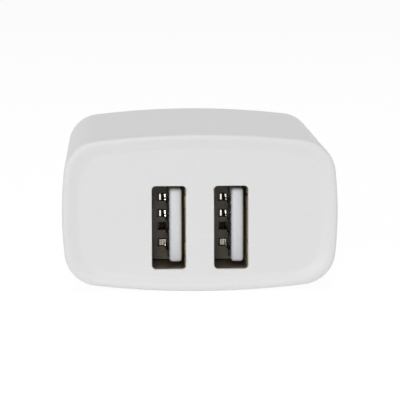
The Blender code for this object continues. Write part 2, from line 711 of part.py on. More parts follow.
def stand(x, y):
    """Returns the place of a component that stands on the main board."""
    return (x, y, BOARD_TOP + SEAT_GAP)


def straight_leads(name, part, offsets, root):
    """Joins straight leads to a standing component and notes their holes."""
    low = -SEAT_GAP - BOARD_THICKNESS - LEAD_TAIL
    leads = [rod("lead", LEAD_RADIUS, low, root, LEAD_STEPS, offset) for offset in offsets]
    join(part, gather(name + "_leads", leads))
    for dx, dy in offsets:
        lead_hole(part.location.x + dx, part.location.y + dy)


def build_capacitor(name, x, y, radius, height, sleeve):
    """A can capacitor: sleeved can with rounded ends and the rolled groove near its foot."""
    groove = radius - CAP_GROOVE
    profile = [(0.0, height), (radius - CAP_EDGE, height), (radius, height - CAP_EDGE)]
    profile += [(radius, 5 * CAP_GROOVE), (groove, 4 * CAP_GROOVE), (radius, 3 * CAP_GROOVE)]
    profile += [(radius, CAP_EDGE), (radius - CAP_EDGE, 0.0), (0.0, 0.0)]
    can = add_turned(name, profile, sleeve, stand(x, y), CAP_STEPS)
    half = CAP_LEAD_PITCH / 2
    straight_leads(name, can, [(0.0, -half), (0.0, half)], CAP_EDGE)


def build_choke(x, y):
    """A drum choke: flanged ferrite spool and the wire wound on its waist."""
    top = CHOKE_HEIGHT
    rim = CHOKE_RADIUS
    inner = rim - CHOKE_WAIST
    profile = [(0.0, top), (rim, top), (rim, top - CHOKE_FLANGE), (inner, top - CHOKE_FLANGE)]
    profile += [(inner, CHOKE_FLANGE), (rim, CHOKE_FLANGE), (rim, 0.0), (0.0, 0.0)]
    core = add_turned("filter_choke_core", profile, FERRITE, stand(x, y), CAP_STEPS)
    half = CAP_LEAD_PITCH / 2
    straight_leads("filter_choke", core, [(-half, 0.0), (half, 0.0)], CHOKE_FLANGE / 2)
    wound = rim - SEAT_GAP
    low = CHOKE_FLANGE + SEAT_GAP
    high = top - low
    ring = [(wound, high), (wound, low), (inner + SEAT_GAP, low), (inner + SEAT_GAP, high)]
    add_turned("filter_choke_winding", ring, COPPER_WIRE, stand(x, y), CAP_STEPS, closed=True)


def build_axial(name, x, y, profile, radius, length, material):
    """A lying axial component: turned body on a wire that bends down into the board at both ends."""
    height = BOARD_TOP + SEAT_GAP + radius
    reach = length / 2 + AXIAL_LEAD_REACH
    body = add_turned(name, profile, material, (x, y, height), CAP_STEPS)
    body.rotation_euler = (0.0, math.pi / 2, 0.0)
    foot = radius + SEAT_GAP + BOARD_THICKNESS + LEAD_TAIL
    path = [(foot, 0.0, -reach), (0.0, 0.0, -reach), (0.0, 0.0, reach), (foot, 0.0, reach)]
    join(body, wire(name + "_lead", path, LEAD_RADIUS))
    lead_hole(x - reach, y)
    lead_hole(x + reach, y)


def build_fuse_resistor(x, y):
    """A fusible resistor with its swollen end caps."""
    half = FUSE_LENGTH / 2
    cap = FUSE_RADIUS
    waist = cap - CAP_EDGE
    upper = [(0.0, half), (waist, half), (cap, half - CAP_EDGE)]
    upper += [(cap, half - FUSE_CAP), (waist, half - FUSE_CAP - CAP_EDGE)]
    profile = upper + [(r, -z) for r, z in reversed(upper)]
    build_axial("fuse_resistor", x, y, profile, FUSE_RADIUS, FUSE_LENGTH, GREY_LACQUER)


def build_output_diode(x, y):
    """An axial rectifier diode: plain moulded cylinder."""
    half = DIODE_LENGTH / 2
    upper = [(0.0, half), (DIODE_RADIUS - CAP_EDGE, half), (DIODE_RADIUS, half - CAP_EDGE)]
    profile = upper + [(r, -z) for r, z in reversed(upper)]
    build_axial("output_diode", x, y, profile, DIODE_RADIUS, DIODE_LENGTH, BLACK_EPOXY)


def build_safety_capacitor(x, y):
    """A dipped disc capacitor that stands on its two leads."""
    face = DISC_THICKNESS / 2
    mesh = rod("safety_capacitor", DISC_RADIUS, -face, face, CAP_STEPS, turn=FACING_Y)
    centre_height = DISC_RADIUS + DISC_STAND
    place = (x, y, BOARD_TOP + SEAT_GAP + centre_height)
    disc = add_part("safety_capacitor", mesh, BLUE_DIP, place)
    round_edges(disc, CAP_EDGE, 2)
    half = CAP_LEAD_PITCH / 2
    low = -centre_height - SEAT_GAP - BOARD_THICKNESS - LEAD_TAIL
    leads = [rod("lead", LEAD_RADIUS, low, -DISC_RADIUS / 2, LEAD_STEPS, (dx, 0.0)) for dx in (-half, half)]
    join(disc, gather("safety_capacitor_leads", leads))
    lead_hole(x - half, y)
    lead_hole(x + half, y)


def build_chip(name, place, size, lead_pitch, leads_a_side, below=False):
    """A surface-mount package: bevelled body and bent leads along its two X sides."""
    width, depth, height = size
    lift = CHIP_LEAD_THICKNESS
    low = (-width / 2, -depth / 2, lift)
    chip = add_part(name, box(name, low, (width / 2, depth / 2, height)), BLACK_EPOXY, place)
    if below:
        chip.rotation_euler = (math.pi, 0.0, 0.0)
    round_edges(chip, CHIP_EDGE)
    leads = []
    mid = height / 2
    for side in (-1, 1):
        edge = width / 2
        knee = edge + CHIP_LEAD_REACH / 2
        foot = CHIP_LEAD_THICKNESS / 2
        line = [(edge - CHIP_LEAD_REACH / 2, mid), (knee, mid), (knee, foot), (edge + CHIP_LEAD_REACH, foot)]
        bent = strip([(side * u, v) for u, v in line], CHIP_LEAD_THICKNESS)
        for i in range(leads_a_side):
            y = (i - (leads_a_side - 1) / 2) * lead_pitch
            leads.append(prism("lead", [bent], y - CHIP_LEAD_WIDTH / 2, y + CHIP_LEAD_WIDTH / 2, FACING_Y))
    join(chip, gather(name + "_leads", leads))


def build_core_half(name, place, tilt):
    """An E-shaped ferrite half: a block with two winding windows, from its back to the joint plane."""
    half = CORE_WIDTH / 2
    depth = CORE_DEPTH / 2
    tip = CORE_HEIGHT / 2 - SEAT_GAP / 2
    core = add_part(name, box(name, (-half, -depth, 0.0), (half, depth, tip)), FERRITE, place)
    core.rotation_euler = (tilt, 0.0, 0.0)
    windows = []
    for side in (-1, 1):
        low = (CORE_CENTRE / 2, -2 * depth, CORE_YOKE)
        windows.append(mirrored_box("window", low, (half - CORE_LIMB, 2 * depth, CORE_HEIGHT), side))
    cut(core, gather(name + "_windows", windows))


def build_transformer(x, y):
    """The flyback transformer: two ferrite halves round a flanged bobbin, its winding and its pins."""
    lower = stand(x, y)[2] + SEAT_GAP
    half_depth = CORE_DEPTH / 2
    build_core_half("transformer_core_lower", (x, y, lower), 0.0)
    build_core_half("transformer_core_upper", (x, y, lower + CORE_HEIGHT), math.pi)

    bore_x = CORE_CENTRE / 2 + SEAT_GAP
    bore_y = half_depth + SEAT_GAP
    tube_x = bore_x + BOBBIN_WALL
    tube_y = bore_y + BOBBIN_WALL
    flange_x = CORE_WIDTH / 2 - CORE_LIMB - SEAT_GAP
    flange_y = BOBBIN_LENGTH / 2
    floor = CORE_YOKE + SEAT_GAP
    roof = CORE_HEIGHT - floor
    block = box("transformer_bobbin", (-flange_x, -flange_y, floor), (flange_x, flange_y, roof))
    bobbin = add_part("transformer_bobbin", block, BOBBIN_PLASTIC, (x, y, lower))
    tube = rectangle(2 * tube_x, 2 * tube_y)
    around = rectangle(3 * flange_x, 3 * flange_y)
    cut(bobbin, prism("winding_space", [around, tube], floor + BOBBIN_WALL, roof - BOBBIN_WALL))
    cut(bobbin, box("core_bore", (-bore_x, -bore_y, -CORE_HEIGHT), (bore_x, bore_y, 2 * CORE_HEIGHT)))
    rail_in = bore_y + MOULD_GAP
    rail_out = flange_y - MOULD_GAP
    rail_x = flange_x - MOULD_GAP
    rail_low = -SEAT_GAP
    offsets = []
    for side in (-1, 1):
        ends = sorted((side * rail_in, side * rail_out))
        low = (-rail_x, ends[0], rail_low)
        join(bobbin, box(f"bobbin_rail_{side}", low, (rail_x, ends[1], floor + BOBBIN_WALL / 2)))
        offsets += [(i * BOBBIN_PIN_PITCH, side * (rail_in + rail_out) / 2) for i in (-1, 0, 1)]
    pin_low = rail_low - SEAT_GAP - BOARD_THICKNESS - LEAD_TAIL
    pin_high = rail_low + BOBBIN_WALL
    pins = [rod("pin", LEAD_RADIUS, pin_low, pin_high, LEAD_STEPS, offset) for offset in offsets]
    join(bobbin, gather("bobbin_pins", pins))
    for dx, dy in offsets:
        lead_hole(x + dx, y + dy)

    inner = rectangle(2 * (tube_x + SEAT_GAP), 2 * (tube_y + SEAT_GAP))
    outer = rounded_rectangle(2 * (flange_x - SEAT_GAP), 2 * (flange_y - SEAT_GAP), BOBBIN_WALL)
    low = floor + BOBBIN_WALL + SEAT_GAP
    high = roof - BOBBIN_WALL - SEAT_GAP
    winding = prism("transformer_winding", [outer, inner], low, high)
    add_part("transformer_winding", winding, TAPE_YELLOW, (x, y, lower))


def build_components():
    """Lays out the main board: mains side at the rear, output side at the front."""
    right = BOARD_HALF - EDGE_ROOM - INPUT_CAP_RADIUS
    rear_cap = BOARD_REAR - EDGE_ROOM - INPUT_CAP_RADIUS
    front_cap = rear_cap - 2 * INPUT_CAP_RADIUS - PART_ROOM
    build_capacitor("input_capacitor_1", right, rear_cap, INPUT_CAP_RADIUS, INPUT_CAP_HEIGHT, BLACK_SLEEVE)
    build_capacitor("input_capacitor_2", right, front_cap, INPUT_CAP_RADIUS, INPUT_CAP_HEIGHT, BLACK_SLEEVE)

    left = -BOARD_HALF + EDGE_ROOM + OUTPUT_CAP_RADIUS
    first = BOARD_FRONT + EDGE_ROOM + OUTPUT_CAP_RADIUS
    second = first + 2 * OUTPUT_CAP_RADIUS + PART_ROOM
    build_capacitor("output_capacitor_1", left, first, OUTPUT_CAP_RADIUS, OUTPUT_CAP_HEIGHT, GREEN_SLEEVE)
    build_capacitor("output_capacitor_2", left, second, OUTPUT_CAP_RADIUS, OUTPUT_CAP_HEIGHT, GREEN_SLEEVE)

    choke_y = BOARD_REAR - SCREW_HEAD_HEIGHT - PART_ROOM - CHOKE_RADIUS
    build_choke(-BOARD_HALF + EDGE_ROOM + CHOKE_RADIUS, choke_y)

    middle = (right - INPUT_CAP_RADIUS + left + OUTPUT_CAP_RADIUS) / 2
    diode_y = BOARD_FRONT + EDGE_ROOM + DIODE_RADIUS
    transformer_y = diode_y + DIODE_RADIUS + PART_ROOM + BOBBIN_LENGTH / 2
    build_output_diode(middle, diode_y)
    build_transformer(middle, transformer_y)

    fuse_y = BOARD_REAR - EDGE_ROOM - FUSE_RADIUS
    fuse_x = right - INPUT_CAP_RADIUS - PART_ROOM - AXIAL_LEAD_REACH - FUSE_LENGTH / 2
    build_fuse_resistor(fuse_x, fuse_y)
    disc_y = fuse_y - FUSE_RADIUS - PART_ROOM / 2 - DISC_THICKNESS / 2
    build_safety_capacitor(fuse_x, disc_y)

    rectifier_y = SPRING_POST_Y - SPRING_THICKNESS - PART_ROOM - RECTIFIER_SIZE[1] / 2
    build_chip("bridge_rectifier", stand(PIVOT_X, rectifier_y), RECTIFIER_SIZE, RECTIFIER_PITCH, 2)
    opto_y = front_cap - INPUT_CAP_RADIUS - PART_ROOM - OPTO_SIZE[1] / 2
    build_chip("optocoupler", stand(right, opto_y), OPTO_SIZE, OPTO_PITCH, 2)
    under = (PIVOT_X, rectifier_y, BOARD_UNDERSIDE - SEAT_GAP)
    build_chip("controller_chip", under, CONTROLLER_SIZE, CONTROLLER_PITCH, 4, below=True)


def build_rear_cover():
    """The wall-side cover: plate, blade wells, hinge bearings and screw bosses."""
    plate = housing_outline(RIM_WALL + SEAM_GAP)
    mesh = prism("rear_cover", [plate], -COVER_THICKNESS, 0.0, FACING_Y)
    cover = add_part("rear_cover", mesh, WHITE_COVER)
    root = -COVER_THICKNESS / 2
    slot_out = BLADE_SPACING / 2 + SLOT_HALF
    well = slot_out + WELL_WALL
    join(cover, box("well_block", (WELL_LEFT, -WELL_DEPTH, -well), (SLOT_END + WELL_WALL, root, well)))
    bearing_right = PIVOT_X + POCKET_HALF + WELL_WALL
    low = (WELL_LEFT, -WELL_DEPTH, -BEARING_END)
    join(cover, box("bearing_block", low, (bearing_right, root, BEARING_END)))
    core = BLADE_SPACING / 2 - SLOT_HALF - WELL_WALL
    below = -WELL_DEPTH - WALL
    cut(cover, box("core_out", (bearing_right, below, -core), (SLOT_END, -COVER_THICKNESS, core)))
    bosses = []
    pilots = []
    pilot_end = -COVER_THICKNESS - PILOT_END
    for side in (-1, 1):
        centre = (PIVOT_X + side * SCREW_OFFSET, 0.0)
        bosses.append(rod("boss", BOSS_RADIUS, -WELL_DEPTH, root, CAP_STEPS, centre, FACING_Y))
        pilots.append(rod("pilot", PILOT_RADIUS, below, pilot_end, CAP_STEPS, centre, FACING_Y))
    join(cover, gather("screw_bosses", bosses))
    cut(cover, gather("screw_pilots", pilots))

    pocket = DRUM_HALF + RUN_GAP
    low = (PIVOT_X - POCKET_HALF, below, -pocket)
    cut(cover, box("drum_pocket", low, (PIVOT_X + POCKET_HALF, WALL, pocket)))
    slots = []
    for side in (-1, 1):
        middle = side * BLADE_SPACING / 2
        low = (PIVOT_X, -SLOT_DEPTH, middle - SLOT_HALF)
        slots.append(box("slot", low, (SLOT_END, WALL, middle + SLOT_HALF)))
    cut(cover, gather("blade_slots", slots))
    notch = JOURNAL_RADIUS + JOURNAL_GAP
    outline = arc((PIVOT_X, -PIVOT_DEPTH), notch, 0.0, math.pi, ROUND_STEPS // 2)
    outline += [(PIVOT_X - notch, below), (PIVOT_X + notch, below)]
    cut(cover, prism("journal_notches", [outline], -BEARING_END - WALL, BEARING_END + WALL))
    scoop_x = SLOT_END - BLADE_TIP_RADIUS
    scoop_y = SCOOP_RADIUS - SCOOP_DEPTH
    cut(cover, rod("finger_scoop", SCOOP_RADIUS, -well, well, 2 * ROUND_STEPS, (scoop_x, scoop_y)))


def build_hinge_retainer():
    """The keeper behind the plug hinge: windowed plate, two ears on the journals and two screw lugs."""
    half = POCKET_HALF + WELL_WALL
    slot_in = BLADE_SPACING / 2 - SLOT_HALF - RUN_GAP
    pocket = DRUM_HALF + RUN_GAP
    right_edge = arc((SCREW_OFFSET, 0.0), BOSS_RADIUS, -math.pi / 2, math.pi / 2, CAP_STEPS // 2)
    root = BOSS_RADIUS + LUG_FLARE
    right_edge = [(half, -BEARING_END), (half, -root), *right_edge, (half, root), (half, BEARING_END)]
    plate = right_edge + [(-x, -z) for x, z in right_edge]
    hole = SCREW_RADIUS + SCREW_HOLE_MARGIN
    openings = []
    for side in (-1, 1):
        middle = side * (slot_in + pocket) / 2
        openings.append(rectangle(2 * DRUM_RADIUS, pocket - slot_in, (0.0, middle)))
        openings.append(circle((side * SCREW_OFFSET, 0.0), hole, CAP_STEPS))
    mesh = prism("hinge_retainer", [plate, *openings], -RETAINER_THICKNESS, 0.0, FACING_Y)
    retainer = add_part("hinge_retainer", mesh, WHITE_COVER, (PIVOT_X, -RETAINER_FRONT, 0.0))
    ear_half = JOURNAL_RADIUS - JOURNAL_GAP
    ear_top = RETAINER_FRONT - PIVOT_DEPTH - JOURNAL_RADIUS - SEAT_GAP
    ears = []
    for side in (-1, 1):
        ends = sorted((side * (pocket + SEAT_GAP), side * BEARING_END))
        ears.append(box("ear", (-ear_half, -RETAINER_THICKNESS / 2, ends[0]), (ear_half, ear_top, ends[1])))
    join(retainer, gather("journal_ears", ears))


def build_screws():
    """Two pan-head screws that hold the retainer to the cover."""
    head = SCREW_HEAD_HEIGHT
    edge = SCREW_HEAD_RADIUS - CAP_EDGE
    profile = [(0.0, head), (edge, head), (SCREW_HEAD_RADIUS, head - CAP_EDGE), (SCREW_HEAD_RADIUS, 0.0)]
    profile += [(SCREW_RADIUS, 0.0), (SCREW_RADIUS, SCREW_RADIUS - SCREW_LENGTH), (0.0, -SCREW_LENGTH)]
    for number, side in enumerate((-1, 1), start=1):
        place = (PIVOT_X + side * SCREW_OFFSET, -RETAINER_REAR - SEAT_GAP, 0.0)
        screw = add_turned(f"retainer_screw_{number}", profile, ZINC_STEEL, place, CAP_STEPS)
        screw.rotation_euler = (math.pi / 2, 0.0, 0.0)


def blade_outline():
    """A blade seen flat: neck through the hinge drum, shoulders, straight sides and rounded tip."""
    half = BLADE_WIDTH / 2
    neck = BLADE_NECK / 2
    shoulder = DRUM_RADIUS + MOULD_GAP
    tip_x = half - BLADE_TIP_RADIUS
    tip_y = PIVOT_DEPTH + BLADE_REACH - BLADE_TIP_RADIUS
    spread = math.asin(neck / DRUM_RADIUS)
    quarter = math.pi / 2
    outline = arc((0.0, 0.0), DRUM_RADIUS, -quarter - spread, -quarter + spread, TIP_STEPS)
    outline += [(neck, shoulder), (half, shoulder)]
    outline += arc((tip_x, tip_y), BLADE_TIP_RADIUS, 0.0, quarter, TIP_STEPS)
    outline += arc((-tip_x, tip_y), BLADE_TIP_RADIUS, quarter, math.pi, TIP_STEPS)
    outline += [(-half, shoulder), (-neck, shoulder)]
    return outline


def build_plug():
    """The folding plug: hinge drum with its journals and two flat blades, carried on the hinge axis."""
    pivot = add_empty("plug_pivot", (PIVOT_X, -PIVOT_DEPTH, 0.0), charger)
    end = BEARING_END - RUN_GAP
    profile = [(0.0, end), (JOURNAL_RADIUS, end), (JOURNAL_RADIUS, DRUM_HALF), (DRUM_RADIUS, DRUM_HALF)]
    profile += [(r, -z) for r, z in reversed(profile)]
    drum = add_turned("blade_carrier", profile, WHITE_COVER, (0.0, 0.0, 0.0), ROUND_STEPS, pivot)
    necks = []
    slot_x = BLADE_NECK / 2 + MOULD_GAP
    slot_z = BLADE_THICKNESS / 2 + MOULD_GAP
    reach = 2 * DRUM_RADIUS
    hole = circle((0.0, PIVOT_DEPTH + BLADE_HOLE_REACH), BLADE_HOLE_RADIUS, CAP_STEPS)
    for side, name in ((-1, "blade_line"), (1, "blade_neutral")):
        middle = side * BLADE_SPACING / 2
        necks.append(box("neck", (-slot_x, -reach, middle - slot_z), (slot_x, reach, middle + slot_z)))
        flat = prism(name, [blade_outline(), hole], -BLADE_THICKNESS / 2, BLADE_THICKNESS / 2)
        blade = add_part(name, flat, NICKEL_BLADE, (0.0, 0.0, middle), pivot)
        round_edges(blade, BLADE_EDGE)
    cut(drum, gather("blade_necks", necks))
    flat_in = DRUM_RADIUS - DRUM_FLAT_DEPTH
    half = DRUM_FLAT_LENGTH / 2
    cut(drum, box("open_flat", (-reach, -reach, -half), (reach, -flat_in, half)))
    cut(drum, box("folded_flat", (flat_in, -reach, -half), (reach, reach, half)))


def build_springs():
    """The two mains springs behind the blades and the detent leaf behind the drum."""
    nose = -PIVOT_DEPTH - DRUM_RADIUS - SEAT_GAP - SPRING_THICKNESS / 2
    foot = BOARD_UNDERSIDE - LEAD_TAIL
    for side, name in ((-1, "mains_spring_line"), (1, "mains_spring_neutral")):
        blade = side * BLADE_SPACING / 2
        arm = blade - side * SPRING_PAD / 2
        line = [(SPRING_POST_Y, foot), (SPRING_POST_Y, arm), (nose, arm), (nose, arm + side * SPRING_PAD)]
        outline = strip(line, SPRING_THICKNESS)
        mesh = prism(name, [outline], -SPRING_WIDTH / 2, SPRING_WIDTH / 2, FACING_X)
        x = PIVOT_X + side * (SPRING_WIDTH / 2 + RUN_GAP)
        add_part(name, mesh, SPRING_BRASS, (x, 0.0, 0.0))
        slot_width = SPRING_WIDTH + 2 * HOLE_MARGIN
        board_holes.append(rectangle(slot_width, SPRING_THICKNESS + 2 * HOLE_MARGIN, (x, SPRING_POST_Y)))
    crest = DRUM_RADIUS + DRUM_FLAT_DEPTH + DETENT_THICKNESS / 2
    half_chord = DRUM_RADIUS - DETENT_THICKNESS
    rise = RETAINER_FRONT - SEAT_GAP - DETENT_THICKNESS / 2 - PIVOT_DEPTH - crest
    radius = (half_chord**2 + rise**2) / (2 * rise)
    spread = math.asin(half_chord / radius)
    up = math.pi / 2
    leaf = strip(arc((0.0, -crest - radius), radius, up - spread, up + spread, BOW_STEPS), DETENT_THICKNESS)
    half = DETENT_LENGTH / 2
    mesh = prism("detent_spring", [leaf], -half, half)
    add_part("detent_spring", mesh, SPRING_STEEL, (PIVOT_X, -PIVOT_DEPTH, 0.0))


clear_scene()
parts = new_collection("usb_wall_charger")
cutters = new_collection("cutters")
charger = add_empty("charger", (0.0, 0.0, 0.0))

WHITE_SHELL = finish("white_satin_shell", (0.80, 0.80, 0.80), 0.42)
WHITE_COVER = finish("white_satin_cover", (0.78, 0.78, 0.78), 0.45)
WHITE_TONGUE = finish("white_tongue", (0.72, 0.71, 0.69), 0.40)
BASE_PLASTIC = finish("dark_base", (0.115, 0.100, 0.085), 0.55)
PORT_STEEL = finish("nickel_plated_shell", (0.62, 0.60, 0.56), 0.28, 1.0)
PLATED_CONTACT = finish("tin_plated_contact", (0.66, 0.63, 0.58), 0.30, 1.0)
GREEN_BOARD = finish("green_solder_mask", (0.03, 0.16, 0.07), 0.40)
BLACK_SLEEVE = finish("black_sleeve", (0.02, 0.02, 0.025), 0.35)
GREEN_SLEEVE = finish("green_sleeve", (0.02, 0.10, 0.06), 0.35)
FERRITE = finish("ferrite", (0.05, 0.05, 0.055), 0.60)
COPPER_WIRE = finish("enamelled_copper", (0.55, 0.22, 0.08), 0.30, 1.0)
BOBBIN_PLASTIC = finish("black_bobbin", (0.02, 0.02, 0.02), 0.50)
TAPE_YELLOW = finish("yellow_tape", (0.75, 0.50, 0.06), 0.35)
GREY_LACQUER = finish("grey_lacquer", (0.25, 0.27, 0.28), 0.50)
BLACK_EPOXY = finish("black_epoxy", (0.015, 0.015, 0.017), 0.50)
BLUE_DIP = finish("blue_dip", (0.03, 0.12, 0.40), 0.35)
NICKEL_BLADE = finish("nickel_plated_brass", (0.70, 0.68, 0.62), 0.22, 1.0)
SPRING_BRASS = finish("spring_brass", (0.72, 0.52, 0.22), 0.30, 1.0)
SPRING_STEEL = finish("spring_steel", (0.55, 0.55, 0.56), 0.30, 1.0)
ZINC_STEEL = finish("zinc_plated_steel", (0.58, 0.58, 0.60), 0.32, 1.0)

build_housing()
build_rear_cover()
build_hinge_retainer()
build_screws()
build_plug()
build_springs()
build_port("a", -PORT_SPACING / 2)
build_port("b", PORT_SPACING / 2)
build_components()
build_main_board()
build_output_board()
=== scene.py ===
# %% [markdown]
# # A two-port wall charger
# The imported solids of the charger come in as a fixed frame: sizes, places and the plug's joint are settled
# there. This lesson dresses that frame. Pieces whose roundness shows are worked out again as fine surfaces with
# numpy, the others keep the solids' shapes, and every piece gets the finish that its real material has.

# %% Load the frame
import json

import bmesh
import bpy
import numpy as np
from mathutils import Matrix, Vector

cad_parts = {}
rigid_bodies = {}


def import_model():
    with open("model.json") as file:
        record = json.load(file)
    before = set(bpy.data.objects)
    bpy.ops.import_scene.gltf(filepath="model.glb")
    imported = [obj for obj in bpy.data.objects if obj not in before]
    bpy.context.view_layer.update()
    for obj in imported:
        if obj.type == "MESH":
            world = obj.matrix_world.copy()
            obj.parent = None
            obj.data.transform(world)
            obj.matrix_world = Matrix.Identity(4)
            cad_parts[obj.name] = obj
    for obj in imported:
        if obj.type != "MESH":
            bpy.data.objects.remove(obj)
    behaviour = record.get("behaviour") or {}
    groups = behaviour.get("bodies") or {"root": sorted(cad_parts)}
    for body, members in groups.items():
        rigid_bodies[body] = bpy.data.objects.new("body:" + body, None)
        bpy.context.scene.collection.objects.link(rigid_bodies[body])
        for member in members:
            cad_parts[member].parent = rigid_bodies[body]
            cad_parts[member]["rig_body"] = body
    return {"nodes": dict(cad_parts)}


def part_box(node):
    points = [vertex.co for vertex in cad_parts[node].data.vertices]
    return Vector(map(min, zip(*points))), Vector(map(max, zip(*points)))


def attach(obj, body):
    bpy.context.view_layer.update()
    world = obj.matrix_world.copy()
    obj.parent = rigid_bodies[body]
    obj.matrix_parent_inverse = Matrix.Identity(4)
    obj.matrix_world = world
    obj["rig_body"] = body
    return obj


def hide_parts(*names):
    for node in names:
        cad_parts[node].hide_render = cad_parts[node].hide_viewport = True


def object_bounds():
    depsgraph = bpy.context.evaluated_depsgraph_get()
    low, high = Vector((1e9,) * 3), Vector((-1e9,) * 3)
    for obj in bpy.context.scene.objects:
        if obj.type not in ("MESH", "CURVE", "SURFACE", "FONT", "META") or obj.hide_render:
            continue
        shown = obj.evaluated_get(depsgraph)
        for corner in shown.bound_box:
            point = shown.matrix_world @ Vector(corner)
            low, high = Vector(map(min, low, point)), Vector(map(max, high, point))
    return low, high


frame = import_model()
cad_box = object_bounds()
nodes = frame["nodes"]
scene = bpy.context.scene
MM = 0.001
print("solids:", len(nodes), "box in mm:", [round(size / MM, 2) for size in cad_box[1] - cad_box[0]])

# %% [markdown]
# ## Camera
# The charger is seen from its socket end, a little from above and from the left, through a long lens, so its
# depth is strongly foreshortened. A camera can be placed by eye, but a fit is exact and can be repeated: place,
# turn and focal length here come from fitting the outline, the front edge and the two socket openings. The focal
# length is in pixels of a 400 pixel frame; Blender wants millimetres on a sensor.

# %% Set up the camera
IMAGE_PIXELS = 400
FOCAL_PIXELS = 2483.0
SENSOR_WIDTH = 36.0
CAMERA_PLACE = np.array([-12.88, -415.05, 45.91]) * MM
YAW, PITCH, ROLL = np.radians([2.006, 6.818, -0.156])

camera = bpy.data.objects.new("camera", bpy.data.cameras.new("camera"))
scene.collection.objects.link(camera)
scene.camera = camera
camera.data.sensor_width = SENSOR_WIDTH
camera.data.lens = SENSOR_WIDTH * FOCAL_PIXELS / IMAGE_PIXELS
forward = Vector((np.sin(YAW) * np.cos(PITCH), np.cos(YAW) * np.cos(PITCH), -np.sin(PITCH)))
rightward = Vector((np.cos(YAW), -np.sin(YAW), 0.0))
upward = rightward.cross(forward)
turn = Matrix((rightward, upward, -forward)).transposed() @ Matrix.Rotation(ROLL, 3, "Z")
camera.matrix_world = Matrix.Translation(CAMERA_PLACE) @ turn.to_4x4()
print("lens in mm:", round(camera.data.lens, 1))

# %% [markdown]
# ## One function for nodes, one for colours
# A material is a small graph of nodes. It could be built by hand in the shader editor, but as code it can be
# reused: this function adds one node, sets its settings and then either sets each input or links it, so a whole
# graph reads as a short list. Colours are written as sRGB hex values, as a colour picker gives them, and turned
# to the linear values that the shaders work in.

# %% Node and colour helpers
def add_node(tree, kind, inputs=None, **settings):
    """Adds a node; inputs maps a socket's name or number to a value or to another node's output."""
    node = tree.nodes.new(kind)
    for name, value in settings.items():
        setattr(node, name, value)
    for socket, value in (inputs or {}).items():
        if isinstance(value, bpy.types.NodeSocket):
            tree.links.new(value, node.inputs[socket])
        else:
            node.inputs[socket].default_value = value
    return node


def linear(code):
    """sRGB to linear: value / 12.92 up to 0.04045, else ((value + 0.055) / 1.055) to the power 2.4."""
    value = np.array([int(code[i : i + 2], 16) for i in (1, 3, 5)]) / 255
    low = value / 12.92
    high = ((value + 0.055) / 1.055) ** 2.4
    return (*np.where(value <= 0.04045, low, high).tolist(), 1.0)


print("mid grey:", round(linear("#808080")[0], 3))

# %% [markdown]
# ## Backdrop
# White goods are shot before a white sweep. More lamp power would turn it white too, but it would also burn out
# the white case. So Light Path tells the rays apart: the camera, reflections and see-through rays meet plain
# white, while the rays that only carry light to the charger meet a much weaker sky.

# %% World
BACKGROUND = "#FEFEFE"
PLAIN_LIGHT = "#FFFFFF"
WORLD_STRENGTH = 0.20


def shows_white(tree):
    """The largest of three marks: 1 for camera, glossy and transmission rays, 0 for rays that carry light."""
    path = add_node(tree, "ShaderNodeLightPath")
    seen, mirrored, passed = (path.outputs[f"Is {kind} Ray"] for kind in ("Camera", "Glossy", "Transmission"))
    either = add_node(tree, "ShaderNodeMath", {0: seen, 1: mirrored}, operation="MAXIMUM")
    return add_node(tree, "ShaderNodeMath", {0: either.outputs[0], 1: passed}, operation="MAXIMUM").outputs[0]


world = bpy.data.worlds.new("soft_studio")
scene.world = world
world.use_nodes = True
tree = world.node_tree
tree.nodes.clear()
sky = add_node(tree, "ShaderNodeBackground", {"Color": linear(PLAIN_LIGHT), "Strength": WORLD_STRENGTH})
backdrop = add_node(tree, "ShaderNodeBackground", {"Color": linear(BACKGROUND), "Strength": 1.0})
mixed = add_node(tree, "ShaderNodeMixShader", {0: shows_white(tree), 1: sky.outputs[0], 2: backdrop.outputs[0]})
add_node(tree, "ShaderNodeOutputWorld", {"Surface": mixed.outputs[0]})
print("sky strength:", WORLD_STRENGTH)

# %% [markdown]
# ## Light table
# The charger lies on a light table: a pale sheet that glows a little from below and lifts the shade under the
# edges. A plain grey floor would need strong lamps to look white. Here the seen sheet is white light plus a thin
# share of diffuse paper, and that share is what takes the charger's soft shadow.

# %% Floor
PAPER = "#EFEFEF"
TABLE_GLOW = 0.15
SHADOW_SHARE = 0.12
SEEN_GLOW = 0.935
FLOOR_HALF = 3.0

# Paper over opal acrylic: evenly bright, with no gloss and no grain that would show at this size.
floor_finish = bpy.data.materials.new("white_light_table")
floor_finish.use_nodes = True
tree = floor_finish.node_tree
tree.nodes.clear()
paper = add_node(tree, "ShaderNodeBsdfDiffuse", {"Color": linear(PAPER)})
glow = add_node(tree, "ShaderNodeEmission", {"Color": linear(PLAIN_LIGHT), "Strength": TABLE_GLOW})
table = add_node(tree, "ShaderNodeAddShader", {0: paper.outputs[0], 1: glow.outputs[0]})
shaded = add_node(tree, "ShaderNodeBsdfDiffuse", {"Color": (SHADOW_SHARE,) * 3 + (1.0,)})
white = add_node(tree, "ShaderNodeEmission", {"Color": linear(BACKGROUND), "Strength": SEEN_GLOW})
sheet = add_node(tree, "ShaderNodeAddShader", {0: shaded.outputs[0], 1: white.outputs[0]})
mixed = add_node(tree, "ShaderNodeMixShader", {0: shows_white(tree), 1: table.outputs[0], 2: sheet.outputs[0]})
add_node(tree, "ShaderNodeOutputMaterial", {"Surface": mixed.outputs[0]})

